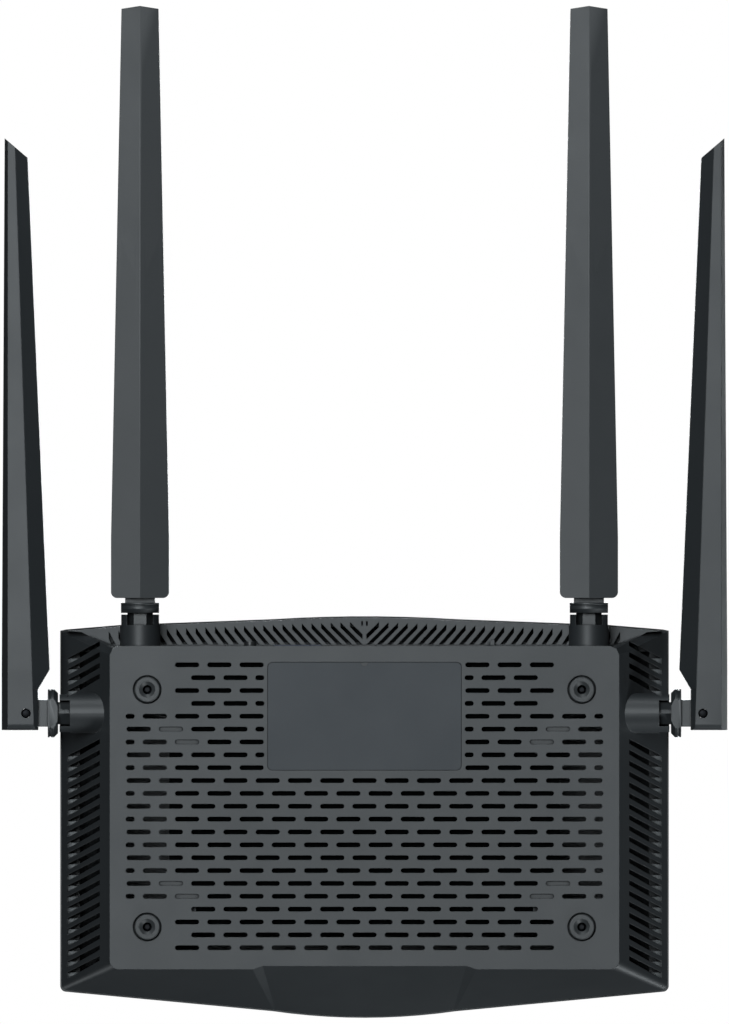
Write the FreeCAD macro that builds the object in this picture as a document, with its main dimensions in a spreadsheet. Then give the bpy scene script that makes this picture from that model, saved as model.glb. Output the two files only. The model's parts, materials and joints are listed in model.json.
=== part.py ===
# Wireless router with four folding antennas, as a parametric document of separate sub-parts.
# +Z is up, the front is -Y, the antennas and ports are at +Y. The origin is the centre of the
# base, on the plane that the four feet stand on. Lengths are in millimetres.
import FreeCAD, Part
import math
import os
import Sketcher
from FreeCAD import Placement, Rotation, Vector

doc = FreeCAD.newDocument("router")

dimensions = {
    # casing outline
    "rimHalf": 100.0,        # half the width at the rim, where the two casing halves meet
    "sideFlare": 16.5,       # how far the rim stands out past the flat underside at each side
    "frontSide": 60.5,       # front of the rim at its corners
    "frontFlare": 7.8,
    "frontSweep": 6.4,       # how much further forward the rim is where its middle starts
    "frontCrown": 2.15,
    "kneeHalf": 30.0,        # where the curved middle of the front and rear edges starts
    "rearWall": 53.3,        # upright rear wall that holds the ports
    "rearShade": 4.9,        # rear of the rim past that wall, at its corners
    "rearBendIn": 20.0,
    "rearBendRise": 1.9,
    "rearSweep": 1.9,
    "rearCrown": 0.95,
    "rearRoundRise": 0.4,
    "pocketMargin": 7.1,     # outer end of the recess behind the rear wall, in from the rim
    "pocketStep": 0.8,
    "plateRound": 3.0,
    "rimRound": 2.0,
    "coverLip": 0.5,         # how far the cover overhangs the shell all round
    "panelLow": 33.4,        # half the sunk middle panel of the front, at the underside
    "panelTop": 29.2,
    "panelLowSide": 3.3,     # width of the panel's sloping sides
    "panelTopSide": 0.9,
    "panelSink": 1.1,
    # casing heights and walls
    "footHeight": 1.0,
    "shellHeight": 28.0,
    "roofDrop": 6.0,         # recess roof below the rim
    "coverHeight": 11.0,
    "coverBand": 2.0,
    "coverInset": 14.0,
    "wall": 2.0,
    "slopeWall": 2.32,       # the same wall measured level through the sloping sides
    "shelfDepth": 3.0,
    "shelfMargin": 6.5,
    "catchHalf": 0.7,
    "catchReach": 1.9,
    "seatGap": 0.1,          # gap between parts that only rest together
    # vents
    "slotLength": 7.86,
    "slotWidth": 1.55,
    "rowPitch": 4.214,
    "columnPitch": 10.57,
    "firstRow": 47.1,
    "plateEdge": 4.0,        # plain strip round the vents
    "blindDepth": 0.6,
    "stubLength": 2.9,
    "labelStubGap": 1.15,
    "edgeStubIn": 6.7,
    "footClear": 7.5,
    "roofPitch": 3.38,
    "roofStart": 0.67,
    "roofLean": 7.19,        # sideways reach of the slots at the middle, and at the ends
    "roofLeanEnd": 2.15,
    "roofSlot": 1.15,
    "roofMargin": 1.35,
    "slitOut": 0.8,
    "slitWide": 0.5,
    "slitLong": 1.4,
    "sidePitch": 3.558,
    "sideSlot": 1.55,
    "sideNotch": 1.95,
    "sideLean": 0.53,
    "sideFront": 6.4,        # first side vent, back from the front corner of the rim
    "sideOuterIn": 2.4,
    "sideInnerOut": 3.3,
    "sideLedge": 2.2,
    "topPitch": 4.2,
    "topSlot": 1.8,
    "topField": 33.0,        # inner end of each field of slots on the top
    "topFrontSlot": 22.0,
    "topRearSlot": 22.0,
    "topGapFront": 0.0,
    "topGapRear": 6.0,
    "topLean": 0.45,
    # label
    "labelWidth": 63.4,
    "labelDepth": 35.3,
    "labelMiddle": 30.25,
    "labelRecess": 0.35,
    "labelThick": 0.2,
    "labelRound": 1.6,
    "labelNotch": 1.35,
    # feet and casing screws
    "footInX": 12.3,         # feet in from the sides, rear and front of the underside
    "footInRear": 14.3,
    "footInFront": 13.9,
    "footRadius": 4.16,
    "footGroove": 0.55,
    "footSeat": 1.2,
    "footHole": 1.5,
    "footSink": 2.55,
    "footSinkDeep": 0.7,
    "screwHead": 2.75,
    "screwHeadHigh": 1.8,
    "screwPip": 0.9,
    "screwDrive": 1.45,
    "screwDriveDeep": 0.8,
    "screwShank": 1.3,
    "screwLong": 14.0,
    "screwFree": 0.2,
    "screwBite": 0.01,
    "bossWall": 1.8,
    "bossTopUp": 1.4,
    # circuit board
    "boardInX": 19.5,        # board edges in from the sides, front and rear of the underside
    "boardInFront": 12.7,
    "boardInRear": 2.7,
    "boardThick": 1.6,
    "standoff": 3.0,
    "boardScrewInX": 6.0,
    "boardScrewRear": 30.6,
    "boardScrewFront": 7.0,
    "boardScrewShank": 1.0,
    "boardScrewHead": 2.3,
    "boardScrewHigh": 1.4,
    "boardHoleGap": 0.4,
    "crossWide": 0.9,
    "crossNarrow": 0.25,
    # antenna sockets and knuckles
    "axisHeight": 9.73,      # socket axis above the underside
    "rearSocketIn": 9.9,     # rear sockets in from the sides of the underside
    "rearBarrel": 10.25,
    "sideSocketIn": 22.1,    # side sockets forward of the rear wall
    "barrelRadius": 6.6,
    "earLong": 3.4,
    "earHalf": 6.2,
    "windowHalf": 4.25,
    "shaftRadius": 4.2,
    "shaftGap": 0.1,
    "flangeGap": 0.55,
    "flangeRadius": 7.95,
    "flangeThick": 3.3,
    "flangeHalf": 6.25,
    "flangeBevel": 1.32,
    "flangeGroove": 0.3,
    "pinToFlange": 7.1,
    "neckHalf": 4.9,
    "neckThick": 8.8,
    "pinRadius": 1.5,
    "pinGap": 0.05,
    "pinSink": 0.8,
    "leadRadius": 0.65,
    "leadBore": 1.3,
    "clipThick": 0.7,
    "clipRadius": 6.0,
    "clipGroove": 0.8,
    "clipSlack": 0.05,
    "rearBoss": 3.0,
    "sideBoss": 1.5,
    # antenna blades, measured from the hinge pin
    "bladeTip": 188.6,
    "bladeKnee": 14.3,
    "bladeHeel": 7.7,
    "bladeEnd": 5.5,
    "bladeHalf": 9.5,
    "tipHalf": 6.06,
    "ridgeBase": 8.06,
    "ridgeTip": 7.1,
    "edgeDepth": 6.0,
    "partingBase": 2.45,
    "partingTip": -3.73,
    "crestBase": 7.67,
    "crestTip": 0.17,
    "crestHeel": 3.9,
    "crestHalf": 3.6,
    "crestTipHalf": 2.6,
    "tipSlant": 6.2,
    "bladeWall": 1.2,
    "bladeRound": 2.0,
    "partingLap": 0.2,       # the hollow starts this far past the parting line
    "tipWall": 3.0,
    "hollowEase": 0.85,      # share of the wall kept at the blade's long edges
    "forkGap": 0.3,
    "radiatorHalf": 3.2,
    "radiatorThick": 0.8,
    "radiatorLevel": 3.6,
    "radiatorStart": 40.0,
    "radiatorEnd": 20.0,
    "bladeLeadLevel": 2.9,
    "bladeLeadStart": 1.5,
    # ports
    "portPitch": 18.0,
    "portFirst": 22.0,
    "portHalf": 7.9,
    "portHigh": 13.4,
    "portDeep": 16.0,
    "portProud": 0.3,
    "portMouthHalf": 5.9,
    "portMouthLow": 2.4,
    "portMouthHigh": 7.2,
    "portMouthDeep": 12.5,
    "latchHalf": 3.1,
    "latchHigh": 1.6,
    "contactPitch": 1.02,
    "contactHalf": 0.2,
    "contactHigh": 0.98,
    "contactIn": 3.0,
    "jackFromPort": 28.0,
    "jackHalf": 4.5,
    "jackHigh": 11.0,
    "jackDeep": 14.0,
    "jackBore": 2.9,
    "jackPin": 1.0,
    "jackBoreDeep": 9.5,
    "buttonFromPort": 15.5,
    "buttonHeight": 5.0,
    "buttonRadius": 2.0,
    "buttonTravel": 0.6,
    "buttonProud": 1.4,
    "buttonGap": 0.2,
    "buttonCollar": 1.1,
    "buttonCollarOut": 0.8,
    "buttonNeck": 1.2,
    "switchBehind": 2.0,     # face of the switch behind the rear wall's inner face
    "switchFree": 0.15,
    # lamps and light pipe
    "lampPitch": 8.0,
    "lampLine": -34.0,
    "lampHalf": 1.0,
    "lampDeepHalf": 0.6,
    "lampHigh": 1.0,
    "lampGap": 0.3,
    "fingerHalf": 0.8,
    "pipeBarUp": 8.0,
    "pipeBarDeep": 1.2,
    "pipeBarHigh": 2.0,
    # cooling and shielding
    "padHigh": 0.8,
    "padHalf": 7.5,
    "sinkHalf": 18.4,
    "sinkHalfDeep": 17.0,
    "sinkBase": 2.2,
    "sinkHigh": 12.0,
    "finThick": 1.4,
    "canHalf": 13.0,
    "canHalfDeep": 11.0,
    "canHigh": 3.0,
    "canSkin": 0.4,
    "capacitorRadius": 3.2,
    "capacitorHigh": 8.0,
    "capacitorRear": 12.0,
    "capacitorPitch": 8.5,
}

# Packages on the board: middle along X and Y, width, depth and height.
packages = {
    "processor": (-8.0, 8.0, 17.0, 17.0, 1.4),
    "workMemory": (14.0, 10.0, 13.0, 8.0, 1.2),
    "storeMemory": (14.0, -2.0, 8.0, 6.0, 1.6),
    "leftRadio": (-40.0, 2.0, 9.0, 9.0, 0.9),
    "rightRadio": (40.0, 2.0, 9.0, 9.0, 0.9),
    "longTransformer": (4.0, 30.0, 30.0, 9.0, 5.0),
    "shortTransformer": (-26.0, 30.0, 15.0, 9.0, 5.0),
    "crystal": (-8.0, -8.0, 5.0, 3.2, 1.2),
    "rearInductor": (44.0, 26.0, 7.0, 7.0, 4.0),
    "frontInductor": (44.0, 17.5, 7.0, 7.0, 4.0),
}
packageSides = ("X", "Y", "Wide", "Deep", "High")
for name, sizes in packages.items():
    for side, size in zip(packageSides, sizes):
        dimensions[name + side] = size

sheet = doc.addObject("Spreadsheet::Sheet", "Sizes")
for row, (alias, value) in enumerate(dimensions.items(), 1):
    sheet.set(f"A{row}", alias)
    sheet.set(f"B{row}", str(value))
    sheet.setAlias(f"B{row}", alias)
doc.recompute()


class Size:
    # A length that knows its value now and the sheet formula that gives it.
    def __init__(self, value, text=None):
        self.value = float(value)
        self.text = text or f"{self.value:.6g}"

    def __float__(self):
        return self.value

    def __neg__(self):
        return Size(-self.value, f"(-{self.text})")

    def __add__(self, other):
        other = asSize(other)
        return Size(self.value + other.value, f"({self.text} + {other.text})")

    def __sub__(self, other):
        other = asSize(other)
        return Size(self.value - other.value, f"({self.text} - {other.text})")

    def __mul__(self, other):
        other = asSize(other)
        return Size(self.value * other.value, f"({self.text} * {other.text})")

    def __truediv__(self, other):
        other = asSize(other)
        return Size(self.value / other.value, f"({self.text} / {other.text})")

    def __radd__(self, other):
        return asSize(other) + self

    def __rsub__(self, other):
        return asSize(other) - self

    def __rmul__(self, other):
        return asSize(other) * self


def asSize(value):
    return value if isinstance(value, Size) else Size(value)


class Sheet:
    # Reads a driving dimension from the sheet by its alias.
    def __getattr__(self, alias):
        return Size(sheet.get(alias), f"Sizes.{alias}")


s = Sheet()

# Heights and places that several sub-parts share.
plateZ = s.footHeight
floorZ = plateZ + s.wall
rimZ = plateZ + s.shellHeight
ceilingZ = rimZ - s.roofDrop
topZ = rimZ + s.coverHeight
axisZ = plateZ + s.axisHeight
boardZ = floorZ + s.standoff
deckZ = boardZ + s.boardThick
bossTop = deckZ + s.bossTopUp
footSeatZ = plateZ + s.footSeat
screwHeadZ = footSeatZ + s.wall / 4
plateHalf = s.rimHalf - s.sideFlare
plateFront = s.frontSide - s.frontFlare
frontKnee = s.frontSide + s.frontSweep
rearSide = s.rearWall + s.rearShade
rearBend = s.rimHalf - s.rearBendIn
rearBendOut = rearSide + s.rearBendRise
rearKnee = rearBendOut + s.rearSweep
rearPeak = rearKnee + s.rearCrown
pocketEnd = s.rimHalf - s.pocketMargin
pocketCorner = plateHalf - s.pocketStep
rearInner = s.rearWall - s.slopeWall
rearSocket = plateHalf - s.rearSocketIn
sideSocket = s.rearWall - s.sideSocketIn
rearBarrelEnd = s.rearWall + s.rearBarrel
pinReach = s.flangeGap + s.flangeThick + s.pinToFlange
boardHalf = plateHalf - s.boardInX
boardFront = s.boardInFront - plateFront
boardRear = s.rearWall - s.boardInRear
portFace = s.rearWall + s.portProud
jackX = s.portFirst + s.jackFromPort
buttonX = s.portFirst + s.buttonFromPort
buttonZ = deckZ + s.buttonHeight
footX = plateHalf - s.footInX
footRear = s.rearWall - s.footInRear
footFront = s.footInFront - plateFront
footPlaces = [(x, y) for x in (-footX, footX) for y in (footRear, footFront)]
boardScrewX = boardHalf - s.boardScrewInX
boardScrewRear = boardRear - s.boardScrewRear
boardScrewFront = boardFront + s.boardScrewFront
boardScrewPlaces = [
    (x, y)
    for x in (-boardScrewX, boardScrewX)
    for y in (boardScrewRear, boardScrewFront)
]

# ---------------------------------------------------------------- helpers

subParts = []


def newBody(label, several=False):
    body = doc.addObject("PartDesign::Body", label)
    body.Label = label
    if several:
        body.AllowCompound = True
    subParts.append(body)
    return body


def bind(thing, prop, value):
    thing.setExpression(prop, asSize(value).text)


def place(thing, at):
    for side, value in zip("xyz", at):
        bind(thing, f"Placement.Base.{side}", value)


turns = {
    "x": Rotation(Vector(0, 1, 0), 90),
    "y": Rotation(Vector(1, 0, 0), -90),
    "z": Rotation(),
}


def box(body, low, high, cut=False):
    kind = "Subtractive" if cut else "Additive"
    block = body.newObject(f"PartDesign::{kind}Box", "Block")
    for edge, near, far in zip(("Length", "Width", "Height"), low, high):
        bind(block, edge, asSize(far) - near)
    place(block, low)
    return block


def rod(body, radius, start, length, axis="z", cut=False):
    kind = "Subtractive" if cut else "Additive"
    round_ = body.newObject(f"PartDesign::{kind}Cylinder", "Round")
    bind(round_, "Radius", radius)
    bind(round_, "Height", length)
    round_.Placement = Placement(Vector(), turns[axis])
    place(round_, start)
    return round_


def cone(body, radius, farRadius, start, length, axis="z", cut=False):
    kind = "Subtractive" if cut else "Additive"
    taper = body.newObject(f"PartDesign::{kind}Cone", "Taper")
    bind(taper, "Radius1", radius)
    bind(taper, "Radius2", farRadius)
    bind(taper, "Height", length)
    taper.Placement = Placement(Vector(), turns[axis])
    place(taper, start)
    return taper


def outline(body, plane, offset, points):
    # A closed sketch on one of the body's origin planes. Each point is (x, y), or
    # (x, y, radius) where an outward arc of that radius runs on to the next point.
    sketch = body.newObject("Sketcher::SketchObject", "Outline")
    origin = next(f for f in body.Origin.OriginFeatures if f.Role == f"{plane}_Plane")
    sketch.AttachmentSupport = [(origin, "")]
    sketch.MapMode = "FlatFace"
    bind(sketch, "AttachmentOffset.Base.z", offset)
    spots = [Vector(float(p[0]), float(p[1]), 0) for p in points]
    ends = []
    for i, point in enumerate(points):
        here, there = spots[i], spots[(i + 1) % len(points)]
        if len(point) == 2:
            sketch.addGeometry(Part.LineSegment(here, there))
            ends.append((1, 2))
            continue
        chord = there - here
        radius = float(point[2])
        sag = radius - math.sqrt(radius ** 2 - (chord.Length / 2) ** 2)
        outward = Vector(chord.y, -chord.x, 0).normalize()
        middle = (here + there) / 2 + outward * sag
        arc = Part.Arc(here, middle, there)
        sketch.addGeometry(arc)
        onward = sketch.Geometry[i].StartPoint.distanceToPoint(here) < radius * 1e-6
        ends.append((1, 2) if onward else (2, 1))
    for i in range(len(points)):
        after = (i + 1) % len(points)
        sketch.addConstraint(
            Sketcher.Constraint("Coincident", i, ends[i][1], after, ends[after][0]))
    for i, point in enumerate(points):
        for kind, value in zip(("DistanceX", "DistanceY"), point):
            index = sketch.addConstraint(
                Sketcher.Constraint(kind, -1, 1, i, ends[i][0], float(value)))
            bind(sketch, f"Constraints[{index}]", value)
        if len(point) == 3:
            index = sketch.addConstraint(Sketcher.Constraint("Radius", i, float(point[2])))
            bind(sketch, f"Constraints[{index}]", point[2])
    return sketch


def loft(body, sections, cut=False):
    kind = "Subtractive" if cut else "Additive"
    skin = body.newObject(f"PartDesign::{kind}Loft", "Skin")
    skin.Profile = sections[0]
    skin.Sections = sections[1:]
    skin.Ruled = True
    return skin


def prism(body, points, start, length, cut=False, plane="XY"):
    # A straight block over an outline, from start along the plane's normal.
    low = outline(body, plane, start, points)
    high = outline(body, plane, asSize(start) + length, points)
    return loft(body, [low, high], cut)


def dress(body, kind, radius, chosen):
    # Rounds or bevels the body's edges for which chosen(edge) is true.
    doc.recompute()
    base = body.Tip
    names = [f"Edge{i}" for i, e in enumerate(base.Shape.Edges, 1) if chosen(e)]
    feature = body.newObject(f"PartDesign::{kind}", kind)
    feature.Base = (base, names)
    bind(feature, "Radius" if kind == "Fillet" else "Size", radius)
    return feature


def cutter(name, shapes):
    # Repeated openings, worked out in a loop and cut in one go.
    tool = doc.addObject("Part::Feature", name)
    tool.Shape = Part.makeCompound(shapes)
    return tool


def between(near, far, share):
    return near + (far - near) * share


def plate(points, low, high):
    # A straight block over plan points given as plain numbers.
    wire = Part.makePolygon([Vector(x, y, low) for x, y in points + points[:1]])
    return Part.Face(wire).extrude(Vector(0, 0, high - low))


def peakRadius(rise, half):
    # Radius of the arc that rises by this much over an edge of twice this half.
    return (half * half + rise * rise) / (2 * rise)


def crossSlots(body, x, y, low, high):
    # crossed driver slots in a screw's head
    for wide, deep in ((s.crossWide, s.crossNarrow), (s.crossNarrow, s.crossWide)):
        box(body, (x - wide, y - deep, low), (x + wide, y + deep, high), cut=True)


# ---------------------------------------------------------------- casing


def rimOutline(inset):
    # The rim in plan, moved in by inset all round.
    inset = asSize(inset)
    side = s.rimHalf - inset
    round_ = s.rimRound
    knee = s.kneeHalf
    front = [
        (-knee, inset - frontKnee, peakRadius(s.frontCrown, knee)),
        (knee, inset - frontKnee),
        (side - round_, inset - s.frontSide, round_),
        (side, inset - s.frontSide + round_),
    ]
    rear = [
        (side, rearSide - inset),
        (side - round_, rearSide - inset + s.rearRoundRise),
        (rearBend - inset / 2, rearBendOut - inset),
        (knee, rearKnee - inset, peakRadius(s.rearCrown, knee)),
        (-knee, rearKnee - inset),
        (inset / 2 - rearBend, rearBendOut - inset),
        (round_ - side, rearSide - inset + s.rearRoundRise),
        (-side, rearSide - inset),
    ]
    left = [
        (-side, inset - s.frontSide + round_, round_),
        (round_ - side, inset - s.frontSide),
    ]
    return front + rear + left


def tubOutline(share, inset):
    # The lower shell in plan at a share of its height: 0 at the underside, 1 at the rim.
    # The middle of the front is sunk between two sloping sides that run out at the rim.
    inset = asSize(inset)
    lip = s.coverLip
    near = s.plateRound * 0.3
    side = between(plateHalf, s.rimHalf - lip, share) - inset
    corner = between(s.plateRound, s.rimRound, share)
    front = between(plateFront, s.frontSide - lip, share) - inset
    knee = between(plateFront, frontKnee - lip, share) - inset
    sunk = between(plateFront - s.panelSink, frontKnee - lip, share) - inset
    panel = between(s.panelLow, s.panelTop, share)
    panelSide = panel + between(s.panelLowSide, s.panelTopSide, share)
    rise = asSize(share) * s.frontCrown + s.seatGap / 2
    rearEnd = between(s.rearWall - s.plateRound, rearSide - lip, share) - inset
    slantX = between(plateHalf - near, pocketEnd, share) - inset
    slantY = between(s.rearWall - near, rearSide - lip, share) - inset
    rearX = between(plateHalf - s.plateRound, pocketCorner, share) - inset
    rearY = s.rearWall - inset
    half = [
        (panel, -sunk),
        (panelSide, -knee),
        (side - corner, -front, corner),
        (side, corner - front),
        (side, rearEnd),
        (slantX, slantY),
        (rearX, rearY),
    ]
    other = [(-p[0], p[1]) for p in reversed(half)]
    other[3] = other[3] + (corner,)
    other[6] = other[6] + (peakRadius(rise, panel),)
    return half + other


def bottomShell():
    blank = doc.addObject("PartDesign::Body", "ShellBlank")
    lip = s.coverLip
    knee = s.kneeHalf
    lowShare = s.wall / s.shellHeight
    shelfShare = 1 - s.shelfDepth / s.shellHeight
    outer = [
        outline(blank, "XY", plateZ, tubOutline(0, 0)),
        outline(blank, "XY", rimZ, tubOutline(1, 0)),
    ]
    loft(blank, outer)
    # roof of the rear recess, with the skirt that carries the cover
    rimCorner = s.rimHalf - s.rimRound - lip
    half = [
        (pocketCorner, s.rearWall - s.wall / 2),
        (pocketEnd, rearSide - lip),
        (rimCorner, rearSide - lip + s.rearRoundRise),
        (rearBend, rearBendOut - lip),
        (knee, rearKnee - lip),
    ]
    roof = half + [(-x, y) for x, y in reversed(half)]
    roof[4] = roof[4] + (peakRadius(s.rearCrown, knee),)
    prism(blank, roof, ceilingZ, rimZ - ceilingZ)
    inner = [
        outline(blank, "XY", floorZ, tubOutline(lowShare, s.slopeWall)),
        outline(blank, "XY", rimZ - s.shelfDepth, tubOutline(shelfShare, s.slopeWall)),
    ]
    loft(blank, inner, cut=True)
    shelf = s.rimHalf - s.shelfMargin
    mouth = [
        (-shelf, s.wall * 2 - s.frontSide),
        (-knee, s.wall * 2 - frontKnee),
        (knee, s.wall * 2 - frontKnee),
        (shelf, s.wall * 2 - s.frontSide),
        (shelf, s.rearWall - s.wall),
        (-shelf, s.rearWall - s.wall),
    ]
    prism(blank, mouth, rimZ - s.shelfDepth * 1.2, s.shelfDepth * 1.2 + 1, cut=True)
    attic = [
        (-pocketCorner, s.rearWall + s.wall / 2),
        (pocketCorner, s.rearWall + s.wall / 2),
        (rearBend, rearBendOut - lip - s.wall),
        (knee, rearKnee - lip - s.wall),
        (-knee, rearKnee - lip - s.wall),
        (-rearBend, rearBendOut - lip - s.wall),
    ]
    prism(blank, attic, ceilingZ + s.wall, s.shellHeight, cut=True)
    casingBosses(blank)
    sockets(blank)
    portWindows(blank)
    labelRecess(blank)
    # small catch for the cover, under the recess roof beside the last port
    catchX = portPlaces()[-1] - s.portHalf - s.catchHalf * 3
    box(blank, (catchX - s.catchHalf, s.rearWall - s.wall / 4, ceilingZ - s.wall),
        (catchX + s.catchHalf, s.rearWall + s.catchReach, ceilingZ + s.wall / 4))
    cuts = cutter("VentSlots", plateVents() + roofVents() + sideVents())
    shell = doc.addObject("Part::Cut", "bottom_shell")
    shell.Base = blank
    shell.Tool = cuts
    shell.Label = "bottom_shell"
    subParts.append(shell)


def casingBosses(body):
    # Counterbored bosses under the feet, and posts that the board stands on. Cuts and
    # bosses overlap their neighbours by a little so that they join or clear.
    over = s.wall / 4
    headFree = s.screwHead + s.screwFree
    shankFree = s.screwShank + s.screwFree
    for x, y in footPlaces:
        rod(body, s.screwHead + s.bossWall, (x, y, plateZ + over), bossTop - plateZ - over)
        rod(body, s.footRadius + s.footGroove, (x, y, 0), footSeatZ, cut=True)
        rod(body, headFree, (x, y, footSeatZ - over),
            screwHeadZ - footSeatZ + s.screwHeadHigh + over, cut=True)
        rod(body, shankFree, (x, y, screwHeadZ), bossTop - screwHeadZ + over, cut=True)
    for x, y in boardScrewPlaces:
        rod(body, s.boardScrewShank + s.bossWall, (x, y, floorZ - over), s.standoff + over)
        rod(body, s.boardScrewShank + s.pinGap, (x, y, floorZ), s.standoff + over, cut=True)


def sockets(body):
    bore = s.shaftRadius + s.shaftGap
    rearStart = s.rearWall - s.wall - s.rearBoss
    rearLong = rearBarrelEnd - rearStart
    sideStart = plateHalf - s.sideBoss
    sideLong = s.rimHalf - sideStart
    reach = s.barrelRadius + 1
    for side in (-1, 1):
        x = rearSocket * side
        rod(body, s.barrelRadius, (x, rearStart, axisZ), rearLong, "y")
        near = sideStart if side > 0 else -s.rimHalf
        rod(body, s.barrelRadius, (near, sideSocket, axisZ), sideLong, "x")
        ears = sorted(((s.rimHalf - s.earLong) * side, (s.rimHalf + 1) * side), key=float)
        # flats on the outer end of each barrel
        for flat in (-1, 1):
            edges = sorted((s.earHalf * flat, reach * flat), key=float)
            box(body, (x + edges[0], rearBarrelEnd - s.earLong, axisZ - reach),
                (x + edges[1], rearBarrelEnd + 1, axisZ + reach), cut=True)
            box(body, (ears[0], sideSocket + edges[0], axisZ - reach),
                (ears[1], sideSocket + edges[1], axisZ + reach), cut=True)
        # windows under the ends, where the shafts show
        box(body, (x - s.windowHalf, rearBarrelEnd - s.earLong, axisZ - reach),
            (x + s.windowHalf, rearBarrelEnd + 1, axisZ), cut=True)
        box(body, (ears[0], sideSocket - s.windowHalf, axisZ - reach),
            (ears[1], sideSocket + s.windowHalf, axisZ), cut=True)
        rod(body, bore, (x, rearStart - 1, axisZ), rearLong + 2, "y", cut=True)
        boreNear = sideStart - 1 if side > 0 else -s.rimHalf - 1
        rod(body, bore, (boreNear, sideSocket, axisZ), sideLong + 2, "x", cut=True)


def portPlaces():
    return [s.portFirst - s.portPitch * i for i in range(4)]


def portWindows(body):
    gap = s.seatGap * 2
    behind, ahead = rearInner - 1, s.rearWall + 1
    for x in portPlaces():
        box(body, (x - s.portHalf - gap, behind, deckZ - gap),
            (x + s.portHalf + gap, ahead, deckZ + s.portHigh + gap), cut=True)
    box(body, (jackX - s.jackHalf - gap, behind, deckZ - gap),
        (jackX + s.jackHalf + gap, ahead, deckZ + s.jackHigh + gap), cut=True)
    rod(body, s.buttonRadius + s.buttonGap, (buttonX, behind, buttonZ),
        ahead - behind, "y", cut=True)


def labelRecess(body):
    half = s.labelWidth / 2 + s.seatGap
    prism(body, labelPoints(half, s.labelDepth / 2 + s.seatGap), plateZ - 1,
          s.labelRecess + 1, cut=True)


def labelPoints(half, deep):
    r = s.labelRound
    y = s.labelMiddle
    return [
        (-half + r, y - deep), (half - r, y - deep, r), (half, y - deep + r),
        (half, y + deep - r, r), (half - r, y + deep), (-half + r, y + deep, r),
        (-half, y + deep - r), (-half, y - deep + r, r),
    ]


def ventSlot(x, y, length, width, low, high):
    # one slot with round ends, along X
    reach = (length - width) / 2
    bar = Part.makeBox(2 * reach, width, high - low, Vector(x - reach, y - width / 2, low))
    ends = [Part.makeCylinder(width / 2, high - low, Vector(x + e, y, low))
            for e in (-reach, reach)]
    return bar.fuse(ends).removeSplitter()


def plateVents():
    # Staggered rows. Rows beside the label start outside it, rows beside the feet stop short
    # of them, and a few slots are left blind over the casing bosses.
    length, width = float(s.slotLength), float(s.slotWidth)
    pitch = float(s.columnPitch)
    low, high = float(plateZ) - 1, float(floorZ) + 1
    blindTop = float(plateZ + s.blindDepth)
    edge = float(s.plateEdge)
    rows = int((float(s.firstRow + plateFront) - edge) / float(s.rowPitch)) + 1
    outermost = float(plateHalf) - edge - length / 2
    labelEdge = float(s.labelWidth) / 2 + length / 2
    footEdge = float(footX - s.footRadius - s.footClear / 2) - length / 2 + 1
    labelStub = float(s.labelWidth / 2 + s.labelStubGap + s.stubLength / 2)
    edgeStub = float(plateHalf - s.edgeStubIn)
    blind = {(5, 6), (6, 5.5), (17, 6), (18, 5.5)}
    slots = []
    for row in range(rows):
        y = float(s.firstRow) - row * float(s.rowPitch)
        even = row % 2 == 0
        beside = y > float(s.labelMiddle - s.labelDepth / 2)
        nearFoot = y > float(footRear - s.footClear) or y < float(footFront + s.footClear)
        last = footEdge if nearFoot else outermost
        columns = [k + 0.5 * even for k in range(int(outermost / pitch) + 1)]
        columns = [c for c in columns if c * pitch <= last]
        columns = [c for c in columns if c * pitch > labelEdge or not beside]
        for c in columns:
            top = blindTop if (row, c) in blind else high
            for side in ((-1, 1) if c else (1,)):
                slots.append(ventSlot(side * c * pitch, y, length, width, low, top))
        stubs = []
        if even and not nearFoot:
            stubs.append(edgeStub)
        if beside and not even:
            stubs.append(labelStub)
        for stub in stubs:
            for side in (-1, 1):
                slots.append(
                    ventSlot(side * stub, y, float(s.stubLength), width, low, high))
    return slots


def roofLine(x):
    # rear edge of the shell's rim at this distance from the middle
    knots = [(0, rearPeak), (s.kneeHalf, rearKnee), (rearBend, rearBendOut),
             (s.rimHalf, rearSide)]
    knots = [(float(a), float(b) - float(s.coverLip)) for a, b in knots]
    for (x0, y0), (x1, y1) in zip(knots, knots[1:]):
        if x <= x1:
            return y0 + (y1 - y0) * (x - x0) / (x1 - x0)
    return knots[-1][1]


def roofVents():
    # Slanted slots in the recess roof, mirrored about a rib on the middle line, steeper
    # towards the ends. Each ends in a short upright edge. The first is cut short by the rib.
    low, high = float(ceilingZ) - 1, float(ceilingZ + s.wall) + 1
    start = float(s.rearWall) + 0.4
    rib = float(s.roofStart)
    slots = []
    count = int(float(pocketCorner + s.roofMargin) / float(s.roofPitch)) + 1
    for i in range(-1, count):
        inner = rib + i * float(s.roofPitch)
        tip = inner + float(between(s.roofLean, s.roofLeanEnd, i / (count - 1)))
        tipY = roofLine(tip) - float(s.roofMargin)
        lean = (tip - inner) / (tipY - start)
        across = float(s.roofSlot) * math.hypot(1, lean)
        knee = max(tipY - across / lean, start)
        points = [(inner, start), (inner + across, start), (tip, knee), (tip, tipY)]
        if inner < rib:
            points = [(rib, start + (rib - inner) / lean),
                      (rib, start + max(rib - inner - across, 0) / lean)] + points[2:]
        for side in (-1, 1):
            slots.append(plate([(side * x, y) for x, y in points], low, high))
    # two short slits on the middle line
    end = roofLine(0) - float(s.roofMargin) + 0.2
    for side in (-1, 1):
        near, far = [side * float(s.slitOut + s.slitWide * e) for e in (-0.5, 0.5)]
        first = end - float(s.slitLong)
        slots.append(plate([(near, first), (far, first), (far, end), (near, end)], low, high))
    return slots


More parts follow.
